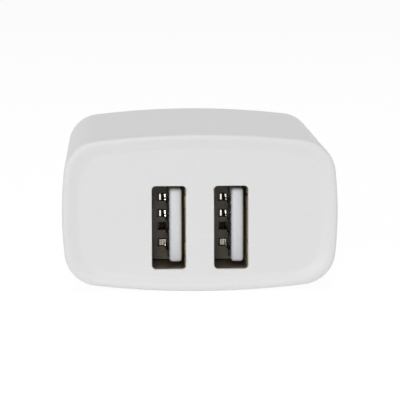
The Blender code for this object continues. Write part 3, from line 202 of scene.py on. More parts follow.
floor_mesh = bpy.data.meshes.new("floor")
floor_level = cad_box[0].z
corners = np.array([[-1, -1], [1, -1], [1, 1], [-1, 1]]) * FLOOR_HALF
corners = np.column_stack([corners, np.full(len(corners), floor_level)])
floor_mesh.from_pydata(corners.tolist(), [], [(0, 1, 2, 3)])
floor_mesh.materials.append(floor_finish)
floor = bpy.data.objects.new("floor", floor_mesh)
scene.collection.objects.link(floor)
print("floor level in mm:", round(floor_level / MM, 2))

# %% [markdown]
# ## Lamps
# Soft boxes are flat lamps as wide as a window: their light wraps round every edge and leaves no hard shadow. A
# picture of a studio sky could light the charger as well, but lamps can be weighed one by one. The front one
# stands to the left and draws the rim, the two at the sides lift the flanks, and the one above lights the wide
# top. The Standard view transform then shows each colour about as it is written.

# %% Lamps
LAMPS = {
    "front_softbox": {"place": (-0.19, -1.05, 0.27), "aim": (0.0, -0.05, 0.0), "size": 0.50, "watts": 4.2},
    "left_softbox": {"place": (-0.95, -0.32, 0.15), "aim": (0.0, -0.05, 0.0), "size": 0.60, "watts": 1.85},
    "right_softbox": {"place": (0.95, -0.32, 0.15), "aim": (0.0, -0.05, 0.0), "size": 0.60, "watts": 1.75},
    "top_softbox": {"place": (0.0, 0.0, 1.00), "aim": (0.0, -0.02, 0.0), "size": 0.70, "watts": 3.0},
}
for name, lamp in LAMPS.items():
    softbox = bpy.data.lights.new(name, "AREA")
    softbox.shape = "SQUARE"
    softbox.size = lamp["size"]
    softbox.energy = lamp["watts"]
    holder = bpy.data.objects.new(name, softbox)
    scene.collection.objects.link(holder)
    holder.location = lamp["place"]
    beam = Vector(lamp["aim"]) - Vector(lamp["place"])
    holder.rotation_euler = beam.to_track_quat("-Z", "Y").to_euler()
scene.view_settings.view_transform = "Standard"
print("lamps:", ", ".join(LAMPS))

# %% [markdown]
# ## Surfaces from arrays
# A moulded shape is a skin over a grid of points: rows follow a profile, columns follow an outline. It could be
# modelled by hand and cut with booleans, but then a round is only as good as its cuts. Here the grid is one numpy
# array, the faces are index arithmetic on it, and skins that share an edge are welded by rounding their points to
# a tenth of a micrometre.

# %% Grids and welds
WELD = 1e-7


def skin(points, close_rows=False):
    """Quads between neighbours on a grid: row i to i + 1 and column j to j + 1, the columns closed to a ring."""
    rows, columns = points.shape[:2]
    number = np.arange(rows * columns).reshape(rows, columns)
    number = np.hstack([number, number[:, :1]])
    if close_rows:
        number = np.vstack([number, number[:1]])
    quads = np.stack([number[:-1, :-1], number[:-1, 1:], number[1:, 1:], number[1:, :-1]], axis=-1)
    return points.reshape(-1, 3), quads.reshape(-1, 4)


def welded(name, skins):
    """One mesh from skins: points that round to the same place become one, and every quad keeps its points."""
    points = np.vstack([flat for flat, _ in skins])
    starts = np.cumsum([0] + [len(flat) for flat, _ in skins[:-1]])
    quads = np.vstack([part + start for start, (_, part) in zip(starts, skins)])
    places = np.round(points / WELD).astype(np.int64)
    _, first, index = np.unique(places, axis=0, return_index=True, return_inverse=True)
    mesh = bpy.data.meshes.new(name)
    mesh.from_pydata(points[first].tolist(), [], index.ravel()[quads].tolist())
    return mesh


print("points weld within", round(WELD / MM, 6), "mm")

# %% [markdown]
# ## From mesh to piece
# A piece of the real charger is one solid with an outside, round faces and a few crisp edges. Each face could be
# marked smooth or flat by hand; an angle does it for all of them. The piece then goes to the body that carries it,
# takes its finish, and hides the solids it stands for.

# %% Piece helper
SMOOTH_ANGLE = np.radians(38)


def place_piece(name, mesh, body, replaced, finish):
    """Turns the faces outwards, smooths all but the sharp edges, and hands the piece to its body."""
    net = bmesh.new()
    net.from_mesh(mesh)
    bmesh.ops.recalc_face_normals(net, faces=net.faces)
    open_edges = sum(not edge.is_manifold for edge in net.edges)
    net.to_mesh(mesh)
    net.free()
    mesh.shade_smooth()
    mesh.set_sharp_from_angle(angle=SMOOTH_ANGLE)
    mesh.materials.clear()
    mesh.materials.append(finish)
    piece = bpy.data.objects.new(name, mesh)
    scene.collection.objects.link(piece)
    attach(piece, body)
    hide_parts(*replaced)
    print(name, "faces:", len(mesh.polygons), "open edges:", open_edges)
    return piece


print("edges stay sharp from", round(np.degrees(SMOOTH_ANGLE)), "degrees")

# %% [markdown]
# ## Finishes
# Real plastics and platings are never one flat colour: flow, wear and plating leave faint clouds, and the tool's
# texture scatters the gloss. Photographs of such surfaces could be wrapped round the pieces, but they stretch and
# need unwrapping. Noise on Object coordinates needs neither: it mixes two colours and two roughnesses and lifts
# the surface, and its grain is given in millimetres.

# %% Finish helper
NOISE_DETAIL, NOISE_ROUGHNESS = 3.0, 0.55
NOISE_LOW, NOISE_HIGH = 0.3, 0.7


def mottled(name, light, dark, grain, rough, bump=0.0, stretch=(1.0, 1.0, 1.0), **settings):
    """Noise of the given grain in mm, stretched per axis, mixes two colours and roughnesses; bump is in mm."""
    material = bpy.data.materials.new(name)
    material.use_nodes = True
    graph = material.node_tree
    shader = graph.nodes["Principled BSDF"]
    for socket, value in settings.items():
        shader.inputs[socket].default_value = value
    place = add_node(graph, "ShaderNodeTexCoord")
    scale = [1 / (grain * MM * share) for share in stretch]
    scaled = add_node(graph, "ShaderNodeMapping", {"Vector": place.outputs["Object"], "Scale": scale})
    texture = {"Scale": 1.0, "Detail": NOISE_DETAIL, "Roughness": NOISE_ROUGHNESS}
    noise = add_node(graph, "ShaderNodeTexNoise", {"Vector": scaled.outputs[0], **texture}).outputs["Fac"]
    tone = add_node(graph, "ShaderNodeValToRGB", {"Fac": noise})
    ends = zip(tone.color_ramp.elements, (NOISE_LOW, NOISE_HIGH), (dark, light))
    for end, position, colour in ends:
        end.position = position
        end.color = linear(colour)
    span = {"From Min": NOISE_LOW, "From Max": NOISE_HIGH, "To Min": rough[0], "To Max": rough[1]}
    gloss = add_node(graph, "ShaderNodeMapRange", {"Value": noise, **span})
    graph.links.new(tone.outputs["Color"], shader.inputs["Base Color"])
    graph.links.new(gloss.outputs[0], shader.inputs["Roughness"])
    if bump:
        lift = add_node(graph, "ShaderNodeBump", {"Height": noise, "Distance": bump * MM, "Strength": 1.0})
        graph.links.new(lift.outputs[0], shader.inputs["Normal"])
    return material


print("noise from", NOISE_LOW, "to", NOISE_HIGH, "carries each finish")

# %% [markdown]
# ## Zones on a finish
# Some pieces change along their length: a contact is plated only near its tip, and a component's wires come out
# of its coloured body. Each part could be cut off and given a material of its own, but the real piece is whole. A
# zone is a slab between two planes, in the shader alone, that has its own colour, metalness and gloss.

# %% Zone helper
COLOUR_MIX = {"data_type": "RGBA", "first": 6, "second": 7, "result": 2}
NUMBER_MIX = {"data_type": "FLOAT", "first": 2, "second": 3, "result": 0}
ACROSS, ALONG, UPRIGHT = 0, 1, 2
PLASTIC, METAL = 0.0, 1.0


def zone(finish, axis, low, high, colour, metallic, rough):
    """Inside the slab, |coordinate - middle| < half its width (in mm), the surface takes the zone's values."""
    graph = finish.node_tree
    shader = graph.nodes["Principled BSDF"]
    place = add_node(graph, "ShaderNodeTexCoord")
    split = add_node(graph, "ShaderNodeSeparateXYZ", {0: place.outputs["Object"]})
    middle, half = (low + high) / 2 * MM, (high - low) / 2 * MM
    slab = {0: split.outputs[axis], 1: middle, 2: half}
    within = add_node(graph, "ShaderNodeMath", slab, operation="COMPARE").outputs[0]
    for name, value in (("Base Color", linear(colour)), ("Metallic", metallic), ("Roughness", rough)):
        socket = shader.inputs[name]
        if not socket.is_linked and socket.default_value == value:
            continue
        before = socket.links[0].from_socket if socket.is_linked else socket.default_value
        kind = COLOUR_MIX if name == "Base Color" else NUMBER_MIX
        choice = {0: within, kind["first"]: before, kind["second"]: value}
        mix = add_node(graph, "ShaderNodeMix", choice, data_type=kind["data_type"])
        graph.links.new(mix.outputs[kind["result"]], socket)
    return finish


print("zones run across, along or upright: axes", ACROSS, ALONG, UPRIGHT)

# %% [markdown]
# ## Finishes that show
# The case and cover are ABS moulded in blasted tools. The tongue is a whiter, stiffer plastic, and the base behind
# it a dull brown one. The socket's sheet steel is nickel plated and a little warm, and the blades are polished
# along their length before plating. One noise finish with its own colours, grain and gloss suits them all; what
# tells them apart is the gloss more than the colour.

# %% Finishes that show
# ABS from a fine-blasted tool: an even satin white with soft, wide highlights. The blast grain is some 0.05 mm,
# too fine to show, so it is drawn at 0.30 mm.
WHITE_CASE = mottled(
    "white_abs_satin_moulded", "#E9E9E9", "#E6E6E6", grain=0.30, rough=(0.40, 0.46), bump=0.002, IOR=1.52
)
# The same ABS from a coarser tool: drier and a shade greyer. Its grain of about 0.1 mm is drawn at 0.25 mm.
WHITE_COVER = mottled(
    "white_abs_textured_cover", "#E6E6E5", "#E2E2E1", grain=0.25, rough=(0.45, 0.52), bump=0.004, IOR=1.52
)
# Liquid-crystal polymer: a cool, bright white with a silky gloss. Its hair-fine flow streaks are drawn as 0.40 mm
# clouds.
WHITE_TONGUE = mottled(
    "white_lcp_tongue", "#EDF1F7", "#E8ECF3", grain=0.40, rough=(0.38, 0.46), bump=0.003, IOR=1.60
)
# Glass-filled PBT: a dull brown that swallows the light deep in the socket. Its 0.01 mm fibres are drawn as
# 0.30 mm specks.
DARK_BASE = mottled(
    "dark_brown_pbt_base", "#756D61", "#675F54", grain=0.30, rough=(0.50, 0.60), bump=0.004, IOR=1.55
)
# Nickel on polished brass: pale silver with a breath of gold, its highlights drawn out along the blade. The
# polishing lines, a few hundredths of a millimetre wide, are drawn at 0.12 mm.
NICKEL_BLADE = mottled(
    "nickel_plated_brass_blade",
    "#D3CEC4",
    "#C4BEB2",
    grain=0.12,
    rough=(0.18, 0.30),
    bump=0.001,
    stretch=(1.0, 14.0, 1.0),
    Metallic=METAL,
)
print("finishes:", len(bpy.data.materials))

# %% [markdown]
# ## The case's outline
# The case is one moulded cup. Its outline is a barrel: wide arcs for top and bottom, tighter ones for the sides
# and small arcs at the corners, all tangent. A bevelled box would be quicker, but its flats would show in the
# highlights. Arcs keep the sweep, and an offset only shortens their radii, so the walls follow it exactly.

# %% The case's outline
case_low, case_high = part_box("housing")
WIDTH, DEPTH, HEIGHT = case_high - case_low
FRONT = case_low.y
SIDE_BULGE = 0.31 * MM
TOP_BULGE = 0.90 * MM
CORNER = 5.20 * MM
FLAT_STEPS, CORNER_STEPS, SIDE_STEPS = 24, 22, 22
QUARTER = np.pi / 2

corner_x = WIDTH / 2 - SIDE_BULGE - CORNER
corner_z = HEIGHT / 2 - TOP_BULGE - CORNER
top_radius = (corner_x**2 + TOP_BULGE**2) / (2 * TOP_BULGE) + CORNER
side_radius = (corner_z**2 + SIDE_BULGE**2) / (2 * SIDE_BULGE) + CORNER
top_angle = np.arcsin(corner_x / (top_radius - CORNER))
side_angle = np.arcsin(corner_z / (side_radius - CORNER))


def arc(centre, radius, start, end, steps):
    """centre + radius (cos a, sin a) at even angles from start; the end is left for the next run to begin at."""
    angle = start + (end - start) * np.arange(steps) / steps
    return np.stack([centre[0] + radius * np.cos(angle), centre[1] + radius * np.sin(angle)], axis=1)


def half_outline(inset):
    """The right half of the barrel, bottom middle to top middle: five tangent arcs, each shortened by inset."""
    top_centre = HEIGHT / 2 - top_radius
    return np.vstack(
        [
            arc((0, -top_centre), top_radius - inset, -QUARTER, -QUARTER + top_angle, FLAT_STEPS),
            arc((corner_x, -corner_z), CORNER - inset, -QUARTER + top_angle, -side_angle, CORNER_STEPS),
            arc((WIDTH / 2 - side_radius, 0), side_radius - inset, -side_angle, side_angle, SIDE_STEPS),
            arc((corner_x, corner_z), CORNER - inset, side_angle, QUARTER - top_angle, CORNER_STEPS),
            arc((0, top_centre), top_radius - inset, QUARTER - top_angle, QUARTER, FLAT_STEPS),
            [(0.0, HEIGHT / 2 - inset)],
        ]
    )


def whole_ring(half):
    """Closes a right half with its mirror image, run back from top middle to bottom middle."""
    return np.vstack([half[:-1], (half * (-1, 1))[::-1][:-1]])


def lay(flat, y):
    """Stands a flat outline of (x, z) points upright at depth y."""
    return np.stack([flat[:, 0], np.full(len(flat), y), flat[:, 1]], axis=1)


print("outline points:", len(whole_ring(half_outline(0.0))), "depth in mm:", round(DEPTH / MM, 2))

# %% [markdown]
# ## The case's walls
# The front edge of the cup rolls over in a full, narrow curve to a rim, and inside the rim the face sinks by about
# a third of a millimetre in a soft wave, which gives the face its fine light and dark border. At the back a seat
# takes the cover. Solidify could make the walls, but they differ in thickness, so one profile lists them all: the
# dish, the rim, the outside, the rear round, the seat and the inside. Each of its points is a whole ring.

# %% The case's walls
WALL = 1.6 * MM
FRONT_WALL = 1.8 * MM
SEAT_WALL = 0.9 * MM
REAR_ROUND = 0.5 * MM
COVER_SEAT = 2.15 * MM
RIM_DEPTH, RIM_SIDE, RIM_TOP = 0.80 * MM, 0.68 * MM, 0.62 * MM
DISH_DEPTH, DISH_SIDE, DISH_TOP = 0.36 * MM, 1.95 * MM, 1.65 * MM
RIM_FULLNESS = 2 / 3
RIM_STEPS, DISH_STEPS, REAR_STEPS = 14, 14, 6
STRAIGHT = (0.01, 0.05, 0.3, 0.7, 0.95, 0.99)


def drawn_in(rim, dish):
    """The half outline scaled in x and z to lie shares rim and dish of the rim's and dish's widths inside."""
    side = rim * RIM_SIDE + dish * DISH_SIDE
    top = rim * RIM_TOP + dish * DISH_TOP
    return half_outline(0.0) * (1 - side / (WIDTH / 2), 1 - top / (HEIGHT / 2))


profile = []
# The dish rises to the rim in half a cosine wave.
for share in np.linspace(1, 0, DISH_STEPS + 1)[:-1]:
    profile.append((drawn_in(1.0, share), FRONT + DISH_DEPTH * (1 - np.cos(np.pi * share)) / 2))
# The rim is a quarter of a squared-off ellipse: sine and cosine, each to the power RIM_FULLNESS.
for angle in np.linspace(0, QUARTER, RIM_STEPS + 1):
    inward, backward = 1 - np.sin(angle) ** RIM_FULLNESS, 1 - np.cos(angle) ** RIM_FULLNESS
    profile.append((drawn_in(inward, 0.0), FRONT + RIM_DEPTH * backward))
# The outside runs straight back and ends in a quarter circle.
for share in STRAIGHT:
    profile.append((half_outline(0.0), (FRONT + RIM_DEPTH) * (1 - share) - REAR_ROUND * share))
for angle in np.linspace(0, QUARTER, REAR_STEPS + 1):
    profile.append((half_outline(REAR_ROUND * (1 - np.cos(angle))), REAR_ROUND * (np.sin(angle) - 1)))
# Then come the rear end, the seat for the cover and the inside.
profile.append((half_outline(SEAT_WALL), 0.0))
profile.append((half_outline(SEAT_WALL), -COVER_SEAT))
profile.append((half_outline(WALL), -COVER_SEAT))
profile.append((half_outline(WALL), FRONT + FRONT_WALL))
case_walls = skin(np.array([lay(whole_ring(half), y) for half, y in profile]))
print("rings in the case's walls:", len(profile))

# %% [markdown]
# ## The socket windows
# Two upright windows in the face let the plugs in. They could be cut out with booleans, but a cut leaves thin
# faces that spoil the shading. Instead each half of the face is a ring of quads from its own border to its window,
# so every window is a rounded rectangle with as many points as the border has.

# %% The socket windows
PORT_SPACING = 9.3 * MM
PORT_DROP = 2.2 * MM
PORT_WIDTH, PORT_HEIGHT, PORT_CORNER = 5.12 * MM, 12.5 * MM, 0.6 * MM
EDGE_STEPS, WINDOW_SIDE_STEPS, WINDOW_CORNER_STEPS = 20, 32, 12
half_points = 2 * FLAT_STEPS + 2 * CORNER_STEPS + SIDE_STEPS + 1
window_points = 2 * EDGE_STEPS + 2 * WINDOW_SIDE_STEPS + 4 * WINDOW_CORNER_STEPS
MIDDLE_STEPS = window_points - half_points + 1


def run(start, end, steps):
    """start + t (end - start) at even t from 0; the end is left for the next run to begin at."""
    share = np.arange(steps)[:, None] / steps
    return np.array(start) + share * (np.array(end) - np.array(start))


def window_ring(grow):
    """A rounded rectangle round the right socket, counter-clockwise from the left end of its lower edge."""
    x, z, r = PORT_WIDTH / 2 + grow, PORT_HEIGHT / 2 + grow, PORT_CORNER + grow
    ring = np.vstack(
        [
            run((r - x, -z), (x - r, -z), EDGE_STEPS),
            arc((x - r, r - z), r, -QUARTER, 0, WINDOW_CORNER_STEPS),
            run((x, r - z), (x, z - r), WINDOW_SIDE_STEPS),
            arc((x - r, z - r), r, 0, QUARTER, WINDOW_CORNER_STEPS),
            run((x - r, z), (r - x, z), EDGE_STEPS),
            arc((r - x, z - r), r, QUARTER, 2 * QUARTER, WINDOW_CORNER_STEPS),
            run((-x, z - r), (-x, r - z), WINDOW_SIDE_STEPS),
            arc((r - x, r - z), r, 2 * QUARTER, 3 * QUARTER, WINDOW_CORNER_STEPS),
        ]
    )
    return ring + (PORT_SPACING / 2, -PORT_DROP)


def border_ring(half):
    """The half outline, then the middle line back down from its top point to its bottom point."""
    return np.vstack([half, run(half[-1], half[0], MIDDLE_STEPS)[1:]])


print("points round a window and round its border:", window_points, len(border_ring(drawn_in(1.0, 1.0))))

# %% [markdown]
# ## The socket face
# On the real case the windows have a small rounded lip, and a pocket behind it holds the socket's metal shell.
# Rows run from the face's border to the window, over the lip, down its wall, out to the pocket and back along the
# inside. Both halves share the points on the middle line, and one weld closes walls and face to a single cup.

# %% The socket face
WINDOW_ROUND = 0.14 * MM
WINDOW_LIP = 0.8 * MM
POCKET = 0.45 * MM
LIP_STEPS = 5
FACE_SHARES = (1.0, 0.985, 0.94, 0.8, 0.6, 0.4, 0.22, 0.1, 0.03, 0.0)
INSIDE_SHARES = (0.0, 0.5, 1.0)


def face_half(side):
    """Rows from the front border over the window's lip and pocket to the border inside, on one side (+-1)."""
    border, inner_border = border_ring(drawn_in(1.0, 1.0)), border_ring(half_outline(WALL))
    lip, pocket = window_ring(WINDOW_ROUND), window_ring(POCKET)
    level = FRONT + DISH_DEPTH
    rows = [lay(lip + share * (border - lip), level) for share in FACE_SHARES]
    for angle in np.linspace(0, QUARTER, LIP_STEPS + 1)[1:]:
        outward, deeper = WINDOW_ROUND * (1 - np.sin(angle)), WINDOW_ROUND * (1 - np.cos(angle))
        rows.append(lay(window_ring(outward), level + deeper))
    rows.append(lay(window_ring(0.0), FRONT + WINDOW_LIP))
    rows.append(lay(pocket, FRONT + WINDOW_LIP))
    rows += [lay(pocket + share * (inner_border - pocket), FRONT + FRONT_WALL) for share in INSIDE_SHARES]
    return skin(np.array(rows) * (side, 1, 1))


case_mesh = welded("case", [case_walls, face_half(1), face_half(-1)])
place_piece("case", case_mesh, "charger", ["housing"], WHITE_CASE)

# %% [markdown]
# ## Pieces that keep their solid's shape
# Cover, drum and socket pieces already have the right shape in the frame, but as loose triangles with sharp edges.
# They could be drawn again, too; a copy saves that. Its points are merged, its flat triangles joined, and a Bevel
# modifier puts a small round on its edges, because no moulded or stamped edge is truly sharp.

# %% Softened copies
MERGE = 1e-6
FLAT_ANGLE = np.radians(1.0)
BEVEL_ANGLE = np.radians(40)
BEVEL_STEPS = 2
COVER_EDGE, DRUM_EDGE = 0.15, 0.10


def softened(node, radius, finish):
    """Copies a solid, merges and flattens it, and rounds its edges by radius in mm."""
    mesh = nodes[node].data.copy()
    net = bmesh.new()
    net.from_mesh(mesh)
    bmesh.ops.remove_doubles(net, verts=net.verts, dist=MERGE)
    bmesh.ops.dissolve_limit(net, angle_limit=FLAT_ANGLE, verts=net.verts, edges=net.edges)
    net.to_mesh(mesh)
    net.free()
    piece = place_piece("soft_" + node, mesh, nodes[node]["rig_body"], [node], finish)
    if radius:
        bevel = piece.modifiers.new("edge_round", "BEVEL")
        bevel.width = radius * MM
        bevel.segments = BEVEL_STEPS
        bevel.limit_method = "ANGLE"
        bevel.angle_limit = BEVEL_ANGLE
        bevel.harden_normals = True


softened("rear_cover", COVER_EDGE, WHITE_COVER)
softened("blade_carrier", DRUM_EDGE, WHITE_COVER)

# %% [markdown]
# ## The sockets
# A socket is a folded sheet-metal shell round a brown base, with a white tongue standing free in it. Tongue and
# shell bring their own rounds from the frame. Where plugs rub on the shell's right wall, its plating is matt and
# pale. The pale tone there is also painted light, lighter in port_a than in port_b. That wall could get a second
# material slot, but a thin zone marks it without a cut in the mesh.

# %% Tongues, bases and shells
NO_EDGE, BASE_EDGE = 0.0, 0.05
RUBBED_AND_LIT_WALL_DEPTH = 0.4
WORN_ROUGHNESS = 0.90
# Per socket, the right wall's tone is rubbed nickel with painted light on it. Port_a's wall is painted lighter.
RUBBED_AND_LIT_WALL_TONES = {"port_a": "#E2D6C2", "port_b": "#BDB09B"}
for port, rubbed_and_lit_tone in RUBBED_AND_LIT_WALL_TONES.items():
    softened(port + "_tongue", NO_EDGE, WHITE_TONGUE)
    softened(port + "_base", BASE_EDGE, DARK_BASE)
    # Nickel on cold-rolled steel: a warm grey, blurred by rolling marks of some 0.02 mm that are drawn as 0.35 mm
    # clouds. Rubbed nickel is pale and matt. Its pale tone on the right wall is also painted light, so it scatters
    # more light than reaches it.
    steel = mottled(
        "nickel_plated_sheet_" + port,
        "#8F8475",
        "#7E7465",
        grain=0.35,
        rough=(0.42, 0.55),
        bump=0.001,
        Metallic=METAL,
    )
    right_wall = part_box(port + "_shell")[1].x / MM
    # This zone paints light onto the rubbed right wall.
    zone(steel, ACROSS, right_wall - RUBBED_AND_LIT_WALL_DEPTH, right_wall, rubbed_and_lit_tone, METAL, WORN_ROUGHNESS)
    softened(port + "_shell", NO_EDGE, steel)

# %% [markdown]
# ## Socket contacts
# The contacts are stamped from bronze strip and plated only where they show. Behind the plating the bronze is
# brown and dull. Its zone is painted almost black as painted shade deep in the slots, so only the plated ends catch
# the light. Each contact's tin is painted brighter or greyer as painted light for its slot. Plating could be a
# second, thinner piece, but it is only a few thousandths of a millimetre thick, so a zone changes the finish where
# it ends.

# %% Contacts
CONTACT_EDGE = 0.04
# A zone's colour, metalness and roughness: bare bronze with painted shade, which makes it almost black deep in its
# slot.
BARE_BRONZE_AND_SLOT_SHADE = ("#2E251C", METAL, 0.5)
# The tin tones, and where each contact's plating ends, paint light and shade per slot: bright tin for lit slots,
# greyer tin for shaded ones.
TIN_PAINTED_LIT, TIN_PAINTED_DIMMER, TIN_PAINTED_DIMMEST = ("#FFFDF8", "#F8F4EE"), ("#D8D2C8", "#C8C1B6"), ("#A8A297", "#989186")
PLATING_ENDS_AND_PAINTED_TONES = {1: (10.5, TIN_PAINTED_LIT), 2: (10.5, TIN_PAINTED_LIT), 3: (9.6, TIN_PAINTED_DIMMER), 4: (12.0, TIN_PAINTED_DIMMEST)}
TAIL_END = 15.0
front_mm = FRONT / MM
for number, (plated, tones) in PLATING_ENDS_AND_PAINTED_TONES.items():
    # Tin on bronze: a bright mirror for the lamps. From contact to contact it is painted brighter or greyer as
    # painted light. The crystals in the tin, about 0.01 mm, are drawn as 0.20 mm clouds.
    finish = mottled(f"tin_plated_bronze_{number}", *tones, grain=0.20, rough=(0.05, 0.10), Metallic=METAL)
    # Behind the plating's end the bronze is painted near black, partly as painted shade of the slot.
    zone(finish, ALONG, front_mm + plated, front_mm + TAIL_END, *BARE_BRONZE_AND_SLOT_SHADE)
    for port in RUBBED_AND_LIT_WALL_TONES:
        softened(f"{port}_contact_{number}", CONTACT_EDGE, finish)

# %% [markdown]
# ## The blades' outline
# A blade is blanked from brass strip: a tail that sits on the hinge drum, a narrow neck, shoulders, straight sides
# and a rounded tip with a hole near it. It could be traced with a curve object, but arcs and straight runs with
# equal numbers of points make a ring that the next step can join to the hole.

# %% The blades' outline
PIVOT = np.array([-6.0, -3.6]) * MM
BLADE_LEVEL, BLADE_HALF, BLADE_HALF_THICK = 6.35 * MM, 3.175 * MM, 0.75 * MM
NECK_HALF, SHOULDER, DRUM_RADIUS = 1.6 * MM, 3.4 * MM, 3.3 * MM
TIP, TIP_RADIUS = 21.1 * MM, 1.6 * MM
BLADE_STEPS = 16


def blade_outline():
    """Tail arc on the drum, neck, shoulders, straight sides and rounded tip, counter-clockwise from the tail."""
    spread = np.arcsin(NECK_HALF / DRUM_RADIUS)
    tail = -DRUM_RADIUS * np.cos(spread)
    side, top = BLADE_HALF - TIP_RADIUS, TIP - TIP_RADIUS
    right = [(NECK_HALF, tail), (NECK_HALF, SHOULDER), (BLADE_HALF, SHOULDER), (BLADE_HALF, top)]
    left = [(-x, y) for x, y in reversed(right)]
    return np.vstack(
        [arc((0, 0), DRUM_RADIUS, -QUARTER - spread, -QUARTER + spread, BLADE_STEPS)]
        + [run(a, b, BLADE_STEPS) for a, b in zip(right, right[1:])]
        + [arc((side, top), TIP_RADIUS, 0, QUARTER, BLADE_STEPS)]
        + [run((side, TIP), (-side, TIP), BLADE_STEPS)]
        + [arc((-side, top), TIP_RADIUS, QUARTER, 2 * QUARTER, BLADE_STEPS)]
        + [run(a, b, BLADE_STEPS) for a, b in zip(left, left[1:])]
    )


print("points round a blade:", len(blade_outline()))

# %% [markdown]
# ## The blades
# Tumbling rounds a blade's edges before it is plated. An extruded outline with a Bevel could give that, but the
# bevel pinches at the shoulders. Here the surface runs from the hole's wall over the face to the outline, round
# the edge and back along the other face: one closed ring of rows. Seen from the hole's centre no part of the
# outline hides another, so straight spokes join the two.

# %% The blades
BLADE_ROUND = 0.2 * MM
HOLE, HOLE_RADIUS = 15.3 * MM, 1.6 * MM
ROUND_STEPS = 5
SPOKE_SHARES = (0.0, 0.3, 0.6)


def blade_grid(level):
    """Rows hole wall, face, rounded edge (a quarter circle of BLADE_ROUND each way), other face, about level."""
    outline = blade_outline()
    ahead = np.roll(outline, -1, axis=0) - np.roll(outline, 1, axis=0)
    outward = np.stack([ahead[:, 1], -ahead[:, 0]], axis=1) / np.linalg.norm(ahead, axis=1)[:, None]
    centre = np.array([0.0, HOLE])
    spoke = (outline - centre) / np.linalg.norm(outline - centre, axis=1)[:, None]
    hole, eased = centre + HOLE_RADIUS * spoke, centre + (HOLE_RADIUS + BLADE_ROUND) * spoke
    rim = outline - BLADE_ROUND * outward
    upper = [(hole, BLADE_HALF_THICK - BLADE_ROUND)]
    upper += [(eased + share * (rim - eased), BLADE_HALF_THICK) for share in SPOKE_SHARES]
    for angle in np.linspace(0, QUARTER, ROUND_STEPS):
        height = BLADE_HALF_THICK - BLADE_ROUND * (1 - np.cos(angle))
        upper.append((rim + BLADE_ROUND * np.sin(angle) * outward, height))
    rows = upper + [(flat, -height) for flat, height in reversed(upper)]
    return np.array([np.column_stack([PIVOT + flat, np.full(len(flat), level + z)]) for flat, z in rows])


for node, side in (("blade_line", -1), ("blade_neutral", 1)):
    blade_mesh = welded("plated_" + node, [skin(blade_grid(side * BLADE_LEVEL), close_rows=True)])
    place_piece("plated_" + node, blade_mesh, "plug", [node], NICKEL_BLADE)

# %% [markdown]
# ## Inside the case: wires and feet
# Nothing in here shows until the case is opened, yet each piece has its own material. Most components are a
# coloured body on tinned wires. The wires could be pieces of their own, but the frame's solids hold body and wires
# in one, so zones mark where the wires come out: at both ends, or below, down to the board.

# %% Wires and feet
# Dipped in tin, the wires have a soft, pale grey shine.
TINNED = ("#CFCDC7", METAL, 0.30)
SLACK = 0.3
FOOT = 0.15
board_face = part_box("main_board")[1].z / MM


def tinned_ends(finish, node, reach):
    """The outer reach mm at both ends of the node's box, across the charger, show tinned wire."""
    low, high = (corner.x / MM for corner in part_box(node))
    zone(finish, ACROSS, low - SLACK, low + reach, *TINNED)
    return zone(finish, ACROSS, high - reach, high + SLACK, *TINNED)


def tinned_feet(finish, node):
    """Whatever reaches down to the main board's face is tinned wire."""
    return zone(finish, UPRIGHT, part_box(node)[0].z / MM - SLACK, board_face + FOOT, *TINNED)


print("board face in mm:", round(board_face, 2))

# %% [markdown]
# ## Circuit boards
# A board is glass-fibre sheet under green lacquer, and the copper tracks below it show as lighter strips. A drawing
# of a real layout would show each track, but rows of long bricks give the same look from a few sizes in
# millimetres, and a turn of the coordinates lays them on the upright board as well.

# %% Boards
TRACK_LENGTH, TRACK_PITCH, TRACK_GAP = 3.6, 0.9, 0.14
TRACK_TONES = {"Color1": linear("#2F7A4C"), "Color2": linear("#286A42"), "Mortar": linear("#1B4A2E")}
LYING, STANDING = (0.0, 0.0, 0.0), (QUARTER, 0.0, 0.0)


def board_finish(name, turn):
    """Long bricks in the board's plane, which turn brings flat, are tracks under the lacquer; gaps are darker."""
    # Lacquered glass-fibre sheet: a wet-looking green with lighter tracks, its gloss dimpled by the 0.50 mm weave.
    finish = mottled(name, "#2C6E46", "#235C3A", grain=0.50, rough=(0.26, 0.36), IOR=1.55)
    graph = finish.node_tree
    place = add_node(graph, "ShaderNodeTexCoord")
    layout = {"Vector": place.outputs["Object"], "Rotation": turn, "Scale": (1 / MM,) * 3}
    flat = add_node(graph, "ShaderNodeMapping", layout)
    sizes = {"Scale": 1.0, "Mortar Size": TRACK_GAP, "Brick Width": TRACK_LENGTH, "Row Height": TRACK_PITCH}
    tracks = add_node(graph, "ShaderNodeTexBrick", {"Vector": flat.outputs[0], **TRACK_TONES, **sizes})
    graph.links.new(tracks.outputs["Color"], graph.nodes["Principled BSDF"].inputs["Base Color"])
    return finish


inside = {
    "main_board": board_finish("green_lacquered_board_flat", LYING),
    "output_board": board_finish("green_lacquered_board_upright", STANDING),
}
print("boards:", len(inside))

# %% [markdown]
# ## Capacitor cans
# A capacitor is an aluminium can in a shrunk plastic sleeve, with the bare lid on top and two wires below. Sleeve,
# lid and wires could be three materials on three sets of faces; two zones on one finish say the same.

# %% Capacitor cans
CAN_LID = 0.3
BARE_ALUMINIUM = ("#C9CBCC", METAL, 0.35)
SLEEVES = {"input": ("#24262B", "#1A1B1F"), "output": ("#1F5A48", "#184A3B")}
for number in (1, 2):
    for kind, tones in SLEEVES.items():
        node = f"{kind}_capacitor_{number}"
        # Shrunk PVC: smooth and glossy, with a faint 0.60 mm ripple; the bare aluminium lid is a bright disc.
        can = mottled(
            f"pvc_sleeved_can_{kind}_{number}", *tones, grain=0.60, rough=(0.24, 0.34), bump=0.001, IOR=1.54
        )
        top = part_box(node)[1].z / MM
        zone(can, UPRIGHT, top - CAN_LID, top + SLACK, *BARE_ALUMINIUM)
        inside[node] = tinned_feet(can, node)
print("with cans:", len(inside))

